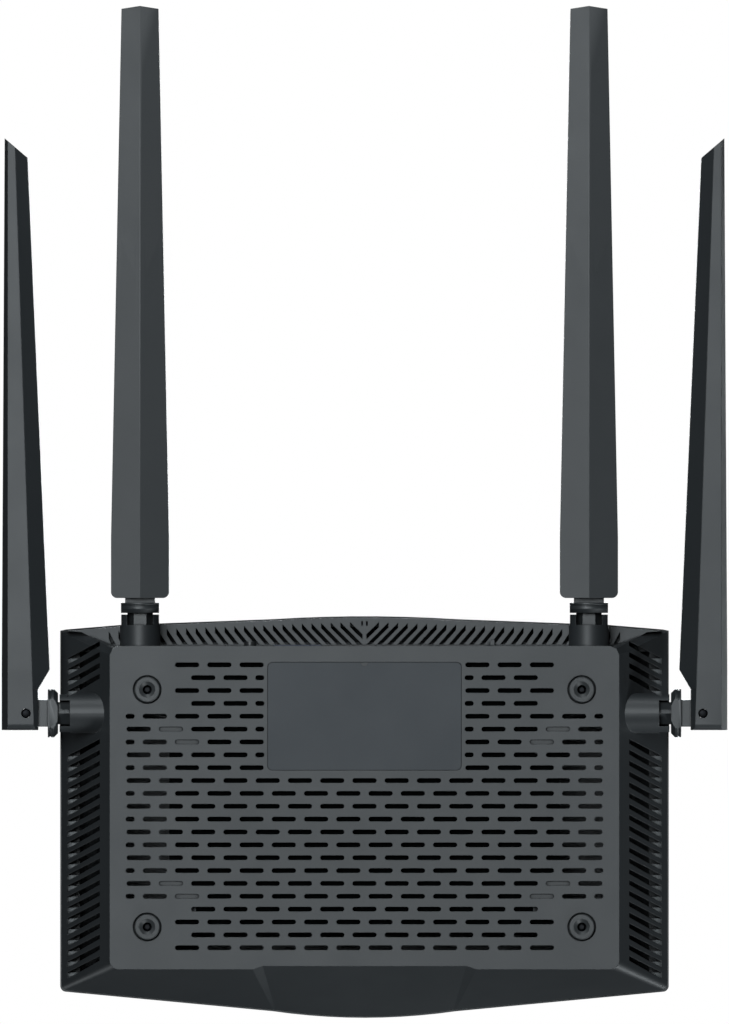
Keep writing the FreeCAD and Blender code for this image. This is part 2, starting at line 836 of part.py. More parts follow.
def sideVents():
    # Slanted slots in the sloping sides, wider towards the underside. Each opens right
    # through, and its outer corner stops at a flat ledge under the rim.
    pitch, width, notch = float(s.sidePitch), float(s.sideSlot), float(s.sideNotch)
    outer = float(s.rimHalf - s.sideOuterIn)
    inner = float(plateHalf + s.sideInnerOut)
    ledge = float(rimZ - s.sideLedge)
    top = float(rimZ) - 0.8
    low = float(plateZ) + 0.8
    lean = float(s.sideLean)
    rise = lean * (outer - inner)
    cornerX = outer - notch / lean
    rearLimit = float(rearSide) - rise - notch - 1
    barrelFront = float(sideSocket - s.barrelRadius) + 0.8
    barrelRear = float(sideSocket + s.barrelRadius) - 2.0
    slots = []
    y = float(s.sideFront - s.frontSide)
    while y < rearLimit:
        if y + rise < barrelFront or y - notch > barrelRear:
            band = [(outer, y), (cornerX, y), (inner, y + rise - width),
                    (inner, y + rise), (outer, y + 0.01)]
            corner = [(outer, y - notch), (cornerX, y), (outer, y)]
            for side in (-1, 1):
                slots.append(plate([(side * a, b) for a, b in band], low, top))
                slots.append(plate([(side * a, b) for a, b in corner], low, ledge))
        y += pitch
    return slots


def topCover():
    blank = doc.addObject("PartDesign::Body", "CoverBlank")
    bandZ = rimZ + s.coverBand
    outer = [
        outline(blank, "XY", rimZ, rimOutline(0)),
        outline(blank, "XY", bandZ, rimOutline(0)),
        outline(blank, "XY", topZ, rimOutline(s.coverInset)),
    ]
    loft(blank, outer)
    inner = [
        outline(blank, "XY", rimZ - 1, rimOutline(s.wall)),
        outline(blank, "XY", bandZ - s.wall / 4, rimOutline(s.wall)),
        outline(blank, "XY", topZ - s.wall, rimOutline(s.coverInset + s.wall / 2)),
    ]
    loft(blank, inner, cut=True)
    postLow = bossTop + s.seatGap
    for x, y in footPlaces:
        rod(blank, s.screwShank + s.bossWall, (x, y, postLow), topZ - s.wall / 2 - postLow)
        rod(blank, s.screwShank + s.screwBite, (x, y, postLow - 1), s.screwLong, cut=True)
    for i in range(-2, 3):
        x = s.lampPitch * i
        gap = s.fingerHalf + s.seatGap
        box(blank, (x - gap, s.lampLine - gap, topZ - s.wall - 1),
            (x + gap, s.lampLine + gap, topZ + 1), cut=True)
    cover = doc.addObject("Part::Cut", "top_cover")
    cover.Base = blank
    cover.Tool = cutter("TopVents", topVents())
    cover.Label = "top_cover"
    subParts.append(cover)


def topVents():
    # Two fields of slanted slots on the flat top, each in a front and a rear row. They stay
    # over the board, so that no slot underneath looks straight through.
    low, high = float(topZ - s.wall) - 1, float(topZ) + 1
    pitch, width = float(s.topPitch), float(s.topSlot)
    first = float(s.topField)
    field = float(boardHalf) - first - width
    frontRow = (-float(s.topGapFront + s.topFrontSlot), -float(s.topGapFront))
    rearRow = (float(s.topGapRear), float(s.topGapRear + s.topRearSlot))
    slots = []
    for i in range(int(field / pitch)):
        near = first + i * pitch
        for front, rear in (frontRow, rearRow):
            lean = float(s.topLean) * (rear - front)
            points = [(near, front), (near + width, front), (near + width - lean, rear),
                      (near - lean, rear)]
            for side in (-1, 1):
                slots.append(plate([(side * a, b) for a, b in points], low, high))
    return slots


def ratingLabel():
    body = newBody("rating_label")
    top = s.labelMiddle + s.labelDepth / 2
    prism(body, labelPoints(s.labelWidth / 2, s.labelDepth / 2),
          plateZ + s.labelRecess - s.labelThick, s.labelThick)
    rod(body, s.labelNotch, (0, top, plateZ - 1), s.labelRecess + 2, cut=True)


def feet():
    # turned rubber rings with a countersunk hole
    body = newBody("feet", several=True)
    for x, y in footPlaces:
        rod(body, s.footRadius, (x, y, 0), footSeatZ - s.seatGap / 2)
    for x, y in footPlaces:
        rod(body, s.footHole, (x, y, -1), footSeatZ + 2, cut=True)
        cone(body, s.footSink, s.footHole, (x, y, 0), s.footSinkDeep, cut=True)


def caseScrews():
    # pan heads with a ring-shaped drive round a pip
    body = newBody("case_screws", several=True)
    for x, y in footPlaces:
        rod(body, s.screwHead, (x, y, screwHeadZ), s.screwHeadHigh)
        rod(body, s.screwShank, (x, y, screwHeadZ + s.screwHeadHigh - s.screwFree), s.screwLong)
    for x, y in footPlaces:
        rod(body, s.screwDrive, (x, y, screwHeadZ - 1), s.screwDriveDeep + 1, cut=True)
        rod(body, s.screwPip, (x, y, screwHeadZ), s.screwDriveDeep + s.screwFree)


# ---------------------------------------------------------------- inside the casing


def mainBoard():
    body = newBody("main_board")
    box(body, (-boardHalf, boardFront, boardZ), (boardHalf, boardRear, deckZ))
    for x, y in boardScrewPlaces:
        rod(body, s.boardScrewShank + s.boardHoleGap, (x, y, boardZ - 1), s.boardThick + 2,
            cut=True)


def boardScrews():
    body = newBody("board_screws", several=True)
    for x, y in boardScrewPlaces:
        rod(body, s.boardScrewHead, (x, y, deckZ), s.boardScrewHigh)
        rod(body, s.boardScrewShank, (x, y, floorZ + s.seatGap), deckZ - floorZ)
    for x, y in boardScrewPlaces:
        crossSlots(body, x, y, deckZ + s.boardScrewHigh / 2, deckZ + s.boardScrewHigh + 1)


def boardBlocks(label, names):
    # plain packages that stand on the board, each of the size and place in the sheet
    body = newBody(label, several=len(names) > 1)
    for name in names:
        x, y, wide, deep, high = [getattr(s, name + side) for side in packageSides]
        box(body, (x - wide / 2, y - deep / 2, deckZ), (x + wide / 2, y + deep / 2, deckZ + high))


def chips():
    boardBlocks("processor", ["processor"])
    boardBlocks("memory_chips", ["workMemory", "storeMemory"])
    boardBlocks("radio_chips", ["leftRadio", "rightRadio"])
    boardBlocks("line_transformers", ["longTransformer", "shortTransformer"])
    boardBlocks("clock_crystal", ["crystal"])
    boardBlocks("power_inductors", ["rearInductor", "frontInductor"])
    switch = newBody("tact_switch")
    face = rearInner - s.switchBehind
    half = s.buttonRadius + s.bossWall / 2
    box(switch, (buttonX - half, face - s.buttonRadius * 2, deckZ),
        (buttonX + half, face, buttonZ + s.buttonRadius))


def heatSink():
    # pad and finned sink on the processor
    padZ = deckZ + s.processorHigh
    pad = newBody("thermal_pad")
    box(pad, (s.processorX - s.padHalf, s.processorY - s.padHalf, padZ),
        (s.processorX + s.padHalf, s.processorY + s.padHalf, padZ + s.padHigh))
    body = newBody("heat_sink")
    low = padZ + s.padHigh
    front, rear = s.processorY - s.sinkHalfDeep, s.processorY + s.sinkHalfDeep
    left, right = s.processorX - s.sinkHalf, s.processorX + s.sinkHalf
    box(body, (left, front, low), (right, rear, low + s.sinkBase))
    fins = 9
    for i in range(fins):
        x = left + (s.sinkHalf * 2 - s.finThick) * (i / (fins - 1))
        box(body, (x, front, low + s.sinkBase / 2), (x + s.finThick, rear, low + s.sinkHigh))


def shieldCans():
    # pressed steel lids over the two radio stages
    body = newBody("shield_cans", several=True)
    wide, deep, skin = s.canHalf, s.canHalfDeep, s.canSkin
    for x in (s.leftRadioX, s.rightRadioX):
        box(body, (x - wide, -deep, deckZ), (x + wide, deep, deckZ + s.canHigh))
    for x in (s.leftRadioX, s.rightRadioX):
        box(body, (x - wide + skin, -deep + skin, deckZ - 1),
            (x + wide - skin, deep - skin, deckZ + s.canHigh - skin), cut=True)


def capacitors():
    body = newBody("capacitors", several=True)
    for i in range(2):
        y = s.capacitorRear - s.capacitorPitch * i
        rod(body, s.capacitorRadius, (boardScrewX, y, deckZ), s.capacitorHigh)


def ports():
    names = ["wan_port", "lan_port_1", "lan_port_2", "lan_port_3"]
    mouthZ = deckZ + s.portMouthLow
    mouthTop = mouthZ + s.portMouthHigh
    for name, x in zip(names, portPlaces()):
        body = newBody(name)
        box(body, (x - s.portHalf, portFace - s.portDeep, deckZ),
            (x + s.portHalf, portFace, deckZ + s.portHigh))
        box(body, (x - s.portMouthHalf, portFace - s.portMouthDeep, mouthZ),
            (x + s.portMouthHalf, portFace + 1, mouthTop), cut=True)
        box(body, (x - s.latchHalf, portFace - s.portMouthDeep, mouthTop - 0.5),
            (x + s.latchHalf, portFace + 1, mouthTop + s.latchHigh), cut=True)


def portContacts():
    # eight springy gold fingers along the bottom of each port
    body = newBody("port_contacts", several=True)
    low = deckZ + s.portMouthLow
    half = s.contactHalf
    for x in portPlaces():
        for i in range(8):
            middle = x + s.contactPitch * (i - 3.5)
            box(body, (middle - half, portFace - s.portMouthDeep, low + s.pinGap / 2),
                (middle + half, portFace - s.contactIn, low + s.contactHigh))


def powerInlet():
    z = deckZ + s.jackHigh / 2
    body = newBody("power_inlet")
    box(body, (jackX - s.jackHalf, portFace - s.jackDeep, deckZ),
        (jackX + s.jackHalf, portFace, deckZ + s.jackHigh))
    rod(body, s.jackBore, (jackX, portFace - s.jackBoreDeep, z), s.jackBoreDeep + 1, "y",
        cut=True)
    pin = newBody("power_inlet_pin")
    rod(pin, s.jackPin, (jackX, portFace - s.jackBoreDeep, z), s.jackBoreDeep - 1, "y")


def pushButton():
    # the tail stops just clear of the switch when the button is right in
    body = newBody("pair_button")
    tail = rearInner - s.switchBehind + s.buttonTravel + s.switchFree
    head = tail + s.buttonNeck
    collar = rearInner - s.seatGap - s.buttonCollar
    rod(body, s.buttonRadius, (buttonX, head, buttonZ),
        s.rearWall + s.buttonProud - head, "y")
    rod(body, s.buttonRadius + s.buttonCollarOut, (buttonX, collar, buttonZ),
        s.buttonCollar, "y")
    rod(body, s.buttonRadius - s.buttonCollarOut, (buttonX, tail, buttonZ),
        s.buttonNeck + s.buttonTravel, "y")


def lamps():
    body = newBody("status_lamps", several=True)
    pipe = newBody("light_pipe")
    finger = s.fingerHalf
    lampTop = deckZ + s.lampHigh
    barZ = lampTop + s.pipeBarUp
    for i in range(-2, 3):
        x = s.lampPitch * i
        box(body, (x - s.lampHalf, s.lampLine - s.lampDeepHalf, deckZ),
            (x + s.lampHalf, s.lampLine + s.lampDeepHalf, lampTop))
        box(pipe, (x - finger, s.lampLine - finger, lampTop + s.lampGap),
            (x + finger, s.lampLine + finger, topZ))
    reach = s.lampPitch * 2 + finger
    box(pipe, (-reach, s.lampLine + finger / 2, barZ),
        (reach, s.lampLine + finger + s.pipeBarDeep, barZ + s.pipeBarHigh))


def leadTube(points):
    # a round lead along straight runs joined by arcs, each as large as its runs allow
    path = []
    here = points[0]
    for i in range(1, len(points) - 1):
        back, ahead = points[i - 1] - points[i], points[i + 1] - points[i]
        reach = 0.45 * min(back.Length, ahead.Length)
        inward, onward = back.normalize(), ahead.normalize()
        start, end = points[i] + inward * reach, points[i] + onward * reach
        half = inward.getAngle(onward) / 2
        bisector = (inward + onward).normalize()
        centre = points[i] + bisector * (reach / math.cos(half))
        middle = centre - bisector * (reach * math.tan(half))
        path.append(Part.LineSegment(here, start).toShape())
        path.append(Part.Arc(start, middle, end).toShape())
        here = end
    path.append(Part.LineSegment(here, points[-1]).toShape())
    along = (points[1] - points[0]).normalize()
    ring = Part.Wire(Part.Circle(points[0], along, float(s.leadRadius)).toShape())
    return Part.Wire(path).makePipeShell([ring], True, False)


def bodyLeads():
    # The four coaxial leads between the hollow knuckle shafts and the board. Each route is
    # points chosen by hand, from the shaft's end to the lead's own pad on the board.
    z = float(axisZ)
    low = float(deckZ + s.leadRadius) + 0.15
    rear = float(s.rearWall - s.wall)
    x, y = float(rearSocket), float(sideSocket)
    inner = float(plateHalf)
    edge = float(boardHalf)
    routes = [
        [(x, rear - 1, z), (x, rear - 6.0, z), (x - 7, rear - 7.4, z), (edge - 1, rear - 8.5, z),
         (edge - 7, rear - 12, low), (edge - 11, rear - 17, low)],
        [(inner - 3, y, z), (inner - 11, y, z), (edge + 2, y - 1.0, z),
         (edge - 4, y - 3, low), (edge - 11, y - 4, low)],
    ]
    leads = doc.addObject("Part::Feature", "coax_leads")
    leads.Shape = Part.makeCompound([
        leadTube([Vector(side * a, b, c) for a, b, c in route])
        for side in (-1, 1) for route in routes
    ])
    leads.Label = "coax_leads"
    subParts.append(leads)


# ---------------------------------------------------------------- antennas
# Each antenna is drawn with its hinge pin along X through the origin, the blade along +Y,
# its ridged outer face towards -Z and the knuckle's shaft towards -Y, then put in its place.


def bladeSection(body, at, half, points):
    return outline(body, "XZ", -asSize(at), [(half * a, b) for a, b in points])


def along(near, far, at):
    # value at this distance from the pin, for something straight from the knee to the tip
    share = (asSize(at) - s.bladeKnee) / (s.bladeTip - s.bladeKnee)
    return between(near, far, share)


def shellPoints(ridge, edge, parting):
    return [(-1, parting), (-1, edge), (0, ridge), (1, edge), (1, parting)]


def partingAt(at):
    share = asSize(at) / s.bladeTip
    return between(s.partingBase, s.partingTip, share)


def tipCut(body):
    # slanted end: longest at the ridge, shorter on the inner side
    top = s.crestBase + 1
    low = -s.ridgeBase - 1
    end = s.bladeTip
    slope = s.tipSlant / (s.ridgeTip + s.crestTip)
    points = [
        (end + slope * (-s.ridgeTip - low), low),
        (end + s.tipSlant * 4, low),
        (end + s.tipSlant * 4, top),
        (end - slope * (s.ridgeTip + top), top),
    ]
    half = s.bladeHalf * 2
    low = outline(body, "YZ", -half, points)
    high = outline(body, "YZ", half, points)
    loft(body, [low, high], cut=True)


def bladeShell(label):
    body = newBody(label)
    stations = [
        (-s.bladeEnd, s.bladeHalf, s.ridgeBase),
        (s.bladeKnee, s.bladeHalf, s.ridgeBase),
        (s.bladeTip, s.tipHalf, s.ridgeTip),
    ]
    loft(body, [
        bladeSection(body, at, half, shellPoints(-ridge, -s.edgeDepth, partingAt(at)))
        for at, half, ridge in stations
    ])
    # the hinge ears carry on to full thickness
    heel = [(-s.bladeEnd, partingAt(-s.bladeEnd)), (s.bladeHeel, partingAt(s.bladeHeel))]
    loft(body, [
        outline(body, "XZ", -at, [
            (-s.bladeHalf, parting - s.partingLap), (s.bladeHalf, parting - s.partingLap),
            (s.bladeHalf, parting), (s.crestHalf * 2, s.crestHeel),
            (-s.crestHalf * 2, s.crestHeel), (-s.bladeHalf, parting),
        ])
        for at, parting in heel
    ])
    skin = s.bladeWall
    hollowEnd = s.bladeTip - s.tipSlant - s.tipWall
    hollow = [
        (s.bladeHeel + 1, s.bladeHalf - skin, s.ridgeBase - skin),
        (s.bladeKnee, s.bladeHalf - skin, s.ridgeBase - skin),
        (hollowEnd, s.tipHalf - skin, s.ridgeTip - skin),
    ]
    loft(body, [
        bladeSection(body, at, half,
                     shellPoints(-ridge, -(s.edgeDepth - skin * s.hollowEase), partingAt(at) + 1))
        for at, half, ridge in hollow
    ], cut=True)
    # fork for the knuckle, open at the end and on the inner side
    fork = s.neckHalf + s.forkGap
    reach = s.neckThick / 2 + s.forkGap * 2
    box(body, (-fork, -s.bladeEnd - 1, -reach), (fork, reach, s.crestBase), cut=True)
    rod(body, s.pinRadius + s.pinGap, (-s.bladeHalf - 1, 0, 0), s.bladeHalf * 2 + 2, "x",
        cut=True)
    rod(body, s.leadBore, (0, 0, -1), s.bladeKnee, "y", cut=True)
    tipCut(body)
    edgeX = float(s.bladeHalf)
    endY = -float(s.bladeEnd)

    def bottomCorner(edge):
        spots = [v.Point for v in edge.Vertexes]
        return (len(spots) == 2
                and all(abs(abs(p.x) - edgeX) < 0.01 and abs(p.y - endY) < 0.01 for p in spots)
                and abs(spots[0].z - spots[1].z) > 5)

    dress(body, "Fillet", s.bladeRound, bottomCorner)
    return body


def bladeCover(label):
    body = newBody(label)
    stations = [
        (s.bladeHeel + s.seatGap, s.bladeHalf, s.crestHeel, s.crestHalf * 2),
        (s.bladeKnee, s.bladeHalf, s.crestBase, s.crestHalf),
        (s.bladeTip, s.tipHalf, s.crestTip, s.crestTipHalf),
    ]
    loft(body, [
        outline(body, "XZ", -asSize(at), [
            (-half, partingAt(at)), (half, partingAt(at)),
            (top, crest), (-top, crest),
        ])
        for at, half, crest, top in stations
    ])
    skin = s.bladeWall
    hollowEnd = s.bladeTip - s.tipSlant - s.tipWall
    hollow = [
        (s.bladeKnee, s.bladeHalf, s.crestBase, s.crestHalf),
        (hollowEnd, s.tipHalf, along(s.crestBase, s.crestTip, hollowEnd), s.crestTipHalf),
    ]
    loft(body, [
        outline(body, "XZ", -asSize(at), [
            (skin - half, partingAt(at) - 1), (half - skin, partingAt(at) - 1),
            (half - skin, partingAt(at)), (top - skin / 2, crest - skin),
            (skin / 2 - top, crest - skin), (skin - half, partingAt(at)),
        ])
        for at, half, crest, top in hollow
    ], cut=True)
    tipCut(body)
    return body


def knuckle(label, shaftLong):
    body = newBody(label)
    flangeNear = -s.pinToFlange
    flangeFar = flangeNear - s.flangeThick
    bevel = s.flangeBevel
    tongue = s.neckThick / 2
    rod(body, tongue, (-s.neckHalf, 0, 0), s.neckHalf * 2, "x")
    box(body, (-s.neckHalf, flangeNear - s.flangeGroove, -tongue), (s.neckHalf, 0, tongue))
    rod(body, s.flangeRadius, (0, flangeFar + bevel, 0), s.flangeThick - bevel, "y")
    cone(body, s.flangeRadius - bevel, s.flangeRadius, (0, flangeFar, 0), bevel, "y")
    # fine groove round the flange
    ring = body.newObject("PartDesign::SubtractiveTorus", "Ring")
    bind(ring, "Radius1", s.flangeRadius)
    bind(ring, "Radius2", s.flangeGroove)
    ring.Placement = Placement(Vector(), turns["y"])
    place(ring, (0, flangeNear - s.flangeThick / 4, 0))
    for side in (-1, 1):
        edges = sorted((s.flangeHalf * side, s.flangeRadius * side * 1.1), key=float)
        box(body, (edges[0], flangeFar - 1, -s.flangeRadius * 1.1),
            (edges[1], flangeNear + 1, s.flangeRadius * 1.1), cut=True)
    # six flats on the shaft where it shows in the socket's window
    shaftEnd = flangeFar - shaftLong
    flatLong = s.flangeGap + s.earLong
    rod(body, s.shaftRadius, (0, shaftEnd, 0), shaftLong - flatLong, "y")
    flats = body.newObject("PartDesign::AdditivePrism", "Flats")
    flats.Polygon = 6
    bind(flats, "Circumradius", s.shaftRadius)
    bind(flats, "Height", flatLong + s.flangeGroove)
    flats.Placement = Placement(Vector(), turns["y"])
    place(flats, (0, flangeFar - flatLong, 0))
    # groove for the retaining clip
    grooveFar = shaftEnd + s.clipThick * 1.5
    rod(body, s.shaftRadius + 1, (0, grooveFar, 0), s.clipThick + s.clipSlack * 2, "y", cut=True)
    rod(body, s.shaftRadius - s.clipGroove, (0, grooveFar - s.clipSlack * 2, 0),
        s.clipThick + s.clipSlack * 6, "y")
    rod(body, s.leadBore, (0, shaftEnd - 1, 0), -(shaftEnd - 1) - tongue - 1, "y", cut=True)
    rod(body, s.pinRadius + s.pinGap, (-s.neckHalf - 1, 0, 0), s.neckHalf * 2 + 2, "x",
        cut=True)
    return body


def retainingClip(label, shaftLong):
    body = newBody(label)
    near = -s.pinToFlange - s.flangeThick - shaftLong + s.clipThick * 1.5 + s.clipSlack
    notch = s.shaftRadius * 0.6
    rod(body, s.clipRadius, (0, near, 0), s.clipThick, "y")
    rod(body, s.shaftRadius - s.clipGroove + s.clipSlack * 2, (0, near - 1, 0),
        s.clipThick + 2, "y", cut=True)
    box(body, (-notch, near - 1, 0), (notch, near + s.clipThick + 1, s.clipRadius + 1), cut=True)
    return body


def hingePin(label):
    body = newBody(label)
    half = s.bladeHalf - s.pinSink
    rod(body, s.pinRadius, (-half, 0, 0), half * 2, "x")
    return body


def radiator(label):
    # printed strip that radiates, down the middle of the blade
    body = newBody(label)
    level = s.radiatorLevel
    box(body, (-s.radiatorHalf, s.bladeKnee + s.radiatorStart, -level - s.radiatorThick),
        (s.radiatorHalf, s.bladeTip - s.radiatorEnd, -level))
    return body


def bladeLead(label):
    body = newBody(label)
    rod(body, s.leadRadius, (0, s.bladeHeel + s.bladeLeadStart, -s.bladeLeadLevel),
        s.bladeKnee + s.radiatorStart, "y")
    return body


def antenna(name, spot, bladeTurn, knuckleTurn, shaftLong):
    moving = [
        (bladeShell(f"{name}_blade"), bladeTurn),
        (bladeCover(f"{name}_blade_cover"), bladeTurn),
        (hingePin(f"{name}_hinge_pin"), bladeTurn),
        (radiator(f"{name}_radiator"), bladeTurn),
        (bladeLead(f"{name}_lead"), bladeTurn),
        (knuckle(f"{name}_knuckle", shaftLong), knuckleTurn),
        (retainingClip(f"{name}_clip", shaftLong), knuckleTurn),
    ]
    for body, turn in moving:
        body.Placement = Placement(Vector(), turn)
        place(body, spot)


def antennas():
    clipRoom = s.clipThick * 2.5 + s.clipSlack * 5
    rearShaft = s.flangeGap + rearBarrelEnd - (s.rearWall - s.wall - s.rearBoss) + clipRoom
    sideShaft = s.flangeGap + s.rimHalf - (plateHalf - s.sideBoss) + clipRoom
    quarter = 90
    for name, side in (("left", -1), ("right", 1)):
        # the left blade's outer face turns to -X, the right one's to +X
        sideTurn = Rotation(Vector(0, 1, 0), -quarter * side)
        inward = Rotation(Vector(0, 0, 1), -quarter * side).multiply(sideTurn)
        antenna(f"rear_{name}", (rearSocket * side, rearBarrelEnd + pinReach, axisZ),
                Rotation(), Rotation(), rearShaft)
        antenna(f"side_{name}", ((s.rimHalf + pinReach) * side, sideSocket, axisZ),
                sideTurn, inward, sideShaft)


# ---------------------------------------------------------------- build and write

bottomShell()
topCover()
ratingLabel()
feet()
caseScrews()
mainBoard()
boardScrews()
chips()
heatSink()
shieldCans()
capacitors()
ports()
portContacts()
powerInlet()
pushButton()
lamps()
bodyLeads()
antennas()
doc.recompute()

faults = [f"{o.Label}: {o.State}" for o in doc.Objects
          if "Invalid" in o.State or "Error" in o.State]
for part in subParts:
    if part.Shape.isNull() or not part.Shape.isValid():
        faults.append(f"{part.Label}: shape is null or not valid")
if faults:
    raise SystemExit("\n".join(faults))

os.makedirs("parts", exist_ok=True)
for part in subParts:
    part.Shape.exportStep(f"parts/{part.Label}.step")
    print(f"{part.Label}: {len(part.Shape.Solids)} solids, {part.Shape.Volume:.0f} mm3")
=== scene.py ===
import json
import math
import random

import bmesh
import bpy
from mathutils import Matrix, Vector

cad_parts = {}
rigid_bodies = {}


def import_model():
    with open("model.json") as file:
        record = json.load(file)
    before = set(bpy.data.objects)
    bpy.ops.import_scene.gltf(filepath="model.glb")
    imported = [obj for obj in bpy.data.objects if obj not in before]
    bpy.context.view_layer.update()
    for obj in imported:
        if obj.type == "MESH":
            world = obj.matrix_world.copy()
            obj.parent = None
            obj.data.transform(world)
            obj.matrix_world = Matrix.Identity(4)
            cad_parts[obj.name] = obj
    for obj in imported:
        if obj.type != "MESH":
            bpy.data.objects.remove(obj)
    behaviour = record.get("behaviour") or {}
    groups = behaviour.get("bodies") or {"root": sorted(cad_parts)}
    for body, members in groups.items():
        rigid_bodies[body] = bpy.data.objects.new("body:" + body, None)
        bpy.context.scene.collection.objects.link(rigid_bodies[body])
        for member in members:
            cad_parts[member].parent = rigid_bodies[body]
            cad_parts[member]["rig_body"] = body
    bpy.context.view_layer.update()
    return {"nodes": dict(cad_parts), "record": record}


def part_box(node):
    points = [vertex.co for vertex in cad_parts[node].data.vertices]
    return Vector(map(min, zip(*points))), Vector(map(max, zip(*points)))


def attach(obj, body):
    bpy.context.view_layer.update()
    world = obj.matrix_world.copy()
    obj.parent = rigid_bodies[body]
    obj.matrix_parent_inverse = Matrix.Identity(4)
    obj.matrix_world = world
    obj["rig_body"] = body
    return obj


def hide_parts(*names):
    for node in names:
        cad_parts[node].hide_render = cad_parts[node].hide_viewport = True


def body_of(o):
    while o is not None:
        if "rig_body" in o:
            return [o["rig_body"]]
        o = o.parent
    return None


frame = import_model()

mm = 0.001
nodes = frame["nodes"]
slotOf = {part["node"]: part["material_slot"] for part in frame["record"]["subparts"]}
antennaNames = [f"{where}_{side}" for where in ("rear", "side") for side in ("left", "right")]
portNames = ["wan_port", "lan_port_1", "lan_port_2", "lan_port_3"]
print("frame loaded:", len(nodes), "nodes")


viewSettings = {
    "lens": 1000.0,          # long lens, so that the underside shows square on
    "sensor": 36.0,
    "distance": 9.32,
    "middleY": 97.2 * mm,
    "clipStart": 0.1,
    "clipEnd": 200.0,
    "backdrop": 1.0,
    "ambient": 0.025,
}


def makeCamera(look):
    data = bpy.data.cameras.new("viewCamera")
    data.lens = look["lens"]
    data.sensor_width = look["sensor"]
    data.clip_start = look["clipStart"]
    data.clip_end = look["clipEnd"]
    camera = bpy.data.objects.new("viewCamera", data)
    camera.location = (0.0, look["middleY"], -look["distance"])
    camera.rotation_euler = (0.0, math.pi, 0.0)   # looks straight up, antennas to the top
    bpy.context.scene.collection.objects.link(camera)
    bpy.context.scene.camera = camera


def makeWorld(look):
    world = bpy.data.worlds.new("studio")
    bpy.context.scene.world = world
    world.use_nodes = True
    tree = world.node_tree
    tree.nodes.clear()
    rays = tree.nodes.new("ShaderNodeLightPath")
    room = tree.nodes.new("ShaderNodeBackground")
    room.inputs["Strength"].default_value = look["ambient"]
    sheet = tree.nodes.new("ShaderNodeBackground")
    sheet.inputs["Color"].default_value = (1.0, 1.0, 1.0, 1.0)
    sheet.inputs["Strength"].default_value = look["backdrop"]
    mix = tree.nodes.new("ShaderNodeMixShader")
    output = tree.nodes.new("ShaderNodeOutputWorld")
    tree.links.new(rays.outputs["Is Camera Ray"], mix.inputs[0])
    tree.links.new(room.outputs[0], mix.inputs[1])
    tree.links.new(sheet.outputs[0], mix.inputs[2])
    tree.links.new(mix.outputs[0], output.inputs["Surface"])


lightTint = (0.90, 0.965, 1.0)   # slightly cool daylight
lightAim = (0.0, 0.06, 0.02)     # near the middle of the object

lightSettings = {
    "keySoftbox": {"place": (0.66, 0.85, -3.6), "size": 1.7, "watts": 105.0},
    "frontPanel": {"place": (-1.6, -2.7, -0.9), "size": 0.7, "watts": 54.0},
    "rearPanel": {"place": (0.5, 3.2, -1.4), "size": 0.8, "watts": 38.0},
    "rightKicker": {"place": (-2.4, -2.4, 0.8), "size": 0.7, "watts": 38.0},
    "leftKicker": {"place": (2.4, -2.4, 0.9), "size": 0.7, "watts": 18.0},
    "topSoftbox": {"place": (-0.5, -0.4, 3.8), "size": 1.8, "watts": 80.0},
    "rearSoftbox": {"place": (0.2, 0.8, 3.9), "size": 1.2, "watts": 60.0},
}


def makeLight(name, look):
    data = bpy.data.lights.new(name, "AREA")
    data.shape = "DISK"
    data.size = look["size"]
    data.energy = look["watts"]
    data.color = lightTint
    lamp = bpy.data.objects.new(name, data)
    lamp.location = look["place"]
    aim = Vector(lightAim) - Vector(look["place"])
    lamp.rotation_euler = aim.to_track_quat("-Z", "Y").to_euler()
    bpy.context.scene.collection.objects.link(lamp)


floorLook = {"half": 8.0, "colour": (0.82, 0.82, 0.81)}


def makeFloor(look):
    # pale from above, and see-through from below so that the underside can be looked at
    mesh = bmesh.new()
    bmesh.ops.create_grid(mesh, x_segments=1, y_segments=1, size=look["half"])
    data = bpy.data.meshes.new("studioFloor")
    mesh.to_mesh(data)
    mesh.free()
    floor = bpy.data.objects.new("studioFloor", data)
    bpy.context.scene.collection.objects.link(floor)
    material = bpy.data.materials.new("paleFloor")
    material.use_nodes = True
    tree = material.node_tree
    tree.nodes.clear()
    paint = tree.nodes.new("ShaderNodeBsdfDiffuse")
    paint.inputs["Color"].default_value = (*look["colour"], 1.0)
    clear = tree.nodes.new("ShaderNodeBsdfTransparent")
    side = tree.nodes.new("ShaderNodeNewGeometry")
    mix = tree.nodes.new("ShaderNodeMixShader")
    output = tree.nodes.new("ShaderNodeOutputMaterial")
    tree.links.new(side.outputs["Backfacing"], mix.inputs[0])
    tree.links.new(paint.outputs[0], mix.inputs[1])
    tree.links.new(clear.outputs[0], mix.inputs[2])
    tree.links.new(mix.outputs[0], output.inputs["Surface"])
    data.materials.append(material)
    for ray in ("diffuse", "glossy", "transmission", "volume_scatter", "shadow"):
        setattr(floor, f"visible_{ray}", False)


makeCamera(viewSettings)
makeWorld(viewSettings)
for lightName, lightLook in lightSettings.items():
    makeLight(lightName, lightLook)
makeFloor(floorLook)
bpy.context.scene.view_settings.view_transform = "Standard"
print("view, floor and lights made")


def newGroup(name, inputs, outputs):
    tree = bpy.data.node_groups.new(name, "ShaderNodeTree")
    for label, kind, value in inputs:
        socket = tree.interface.new_socket(label, in_out="INPUT", socket_type=f"NodeSocket{kind}")
        if value is not None:
            socket.default_value = value
    for label, kind in outputs:
        tree.interface.new_socket(label, in_out="OUTPUT", socket_type=f"NodeSocket{kind}")
    return tree, tree.nodes.new("NodeGroupInput"), tree.nodes.new("NodeGroupOutput")


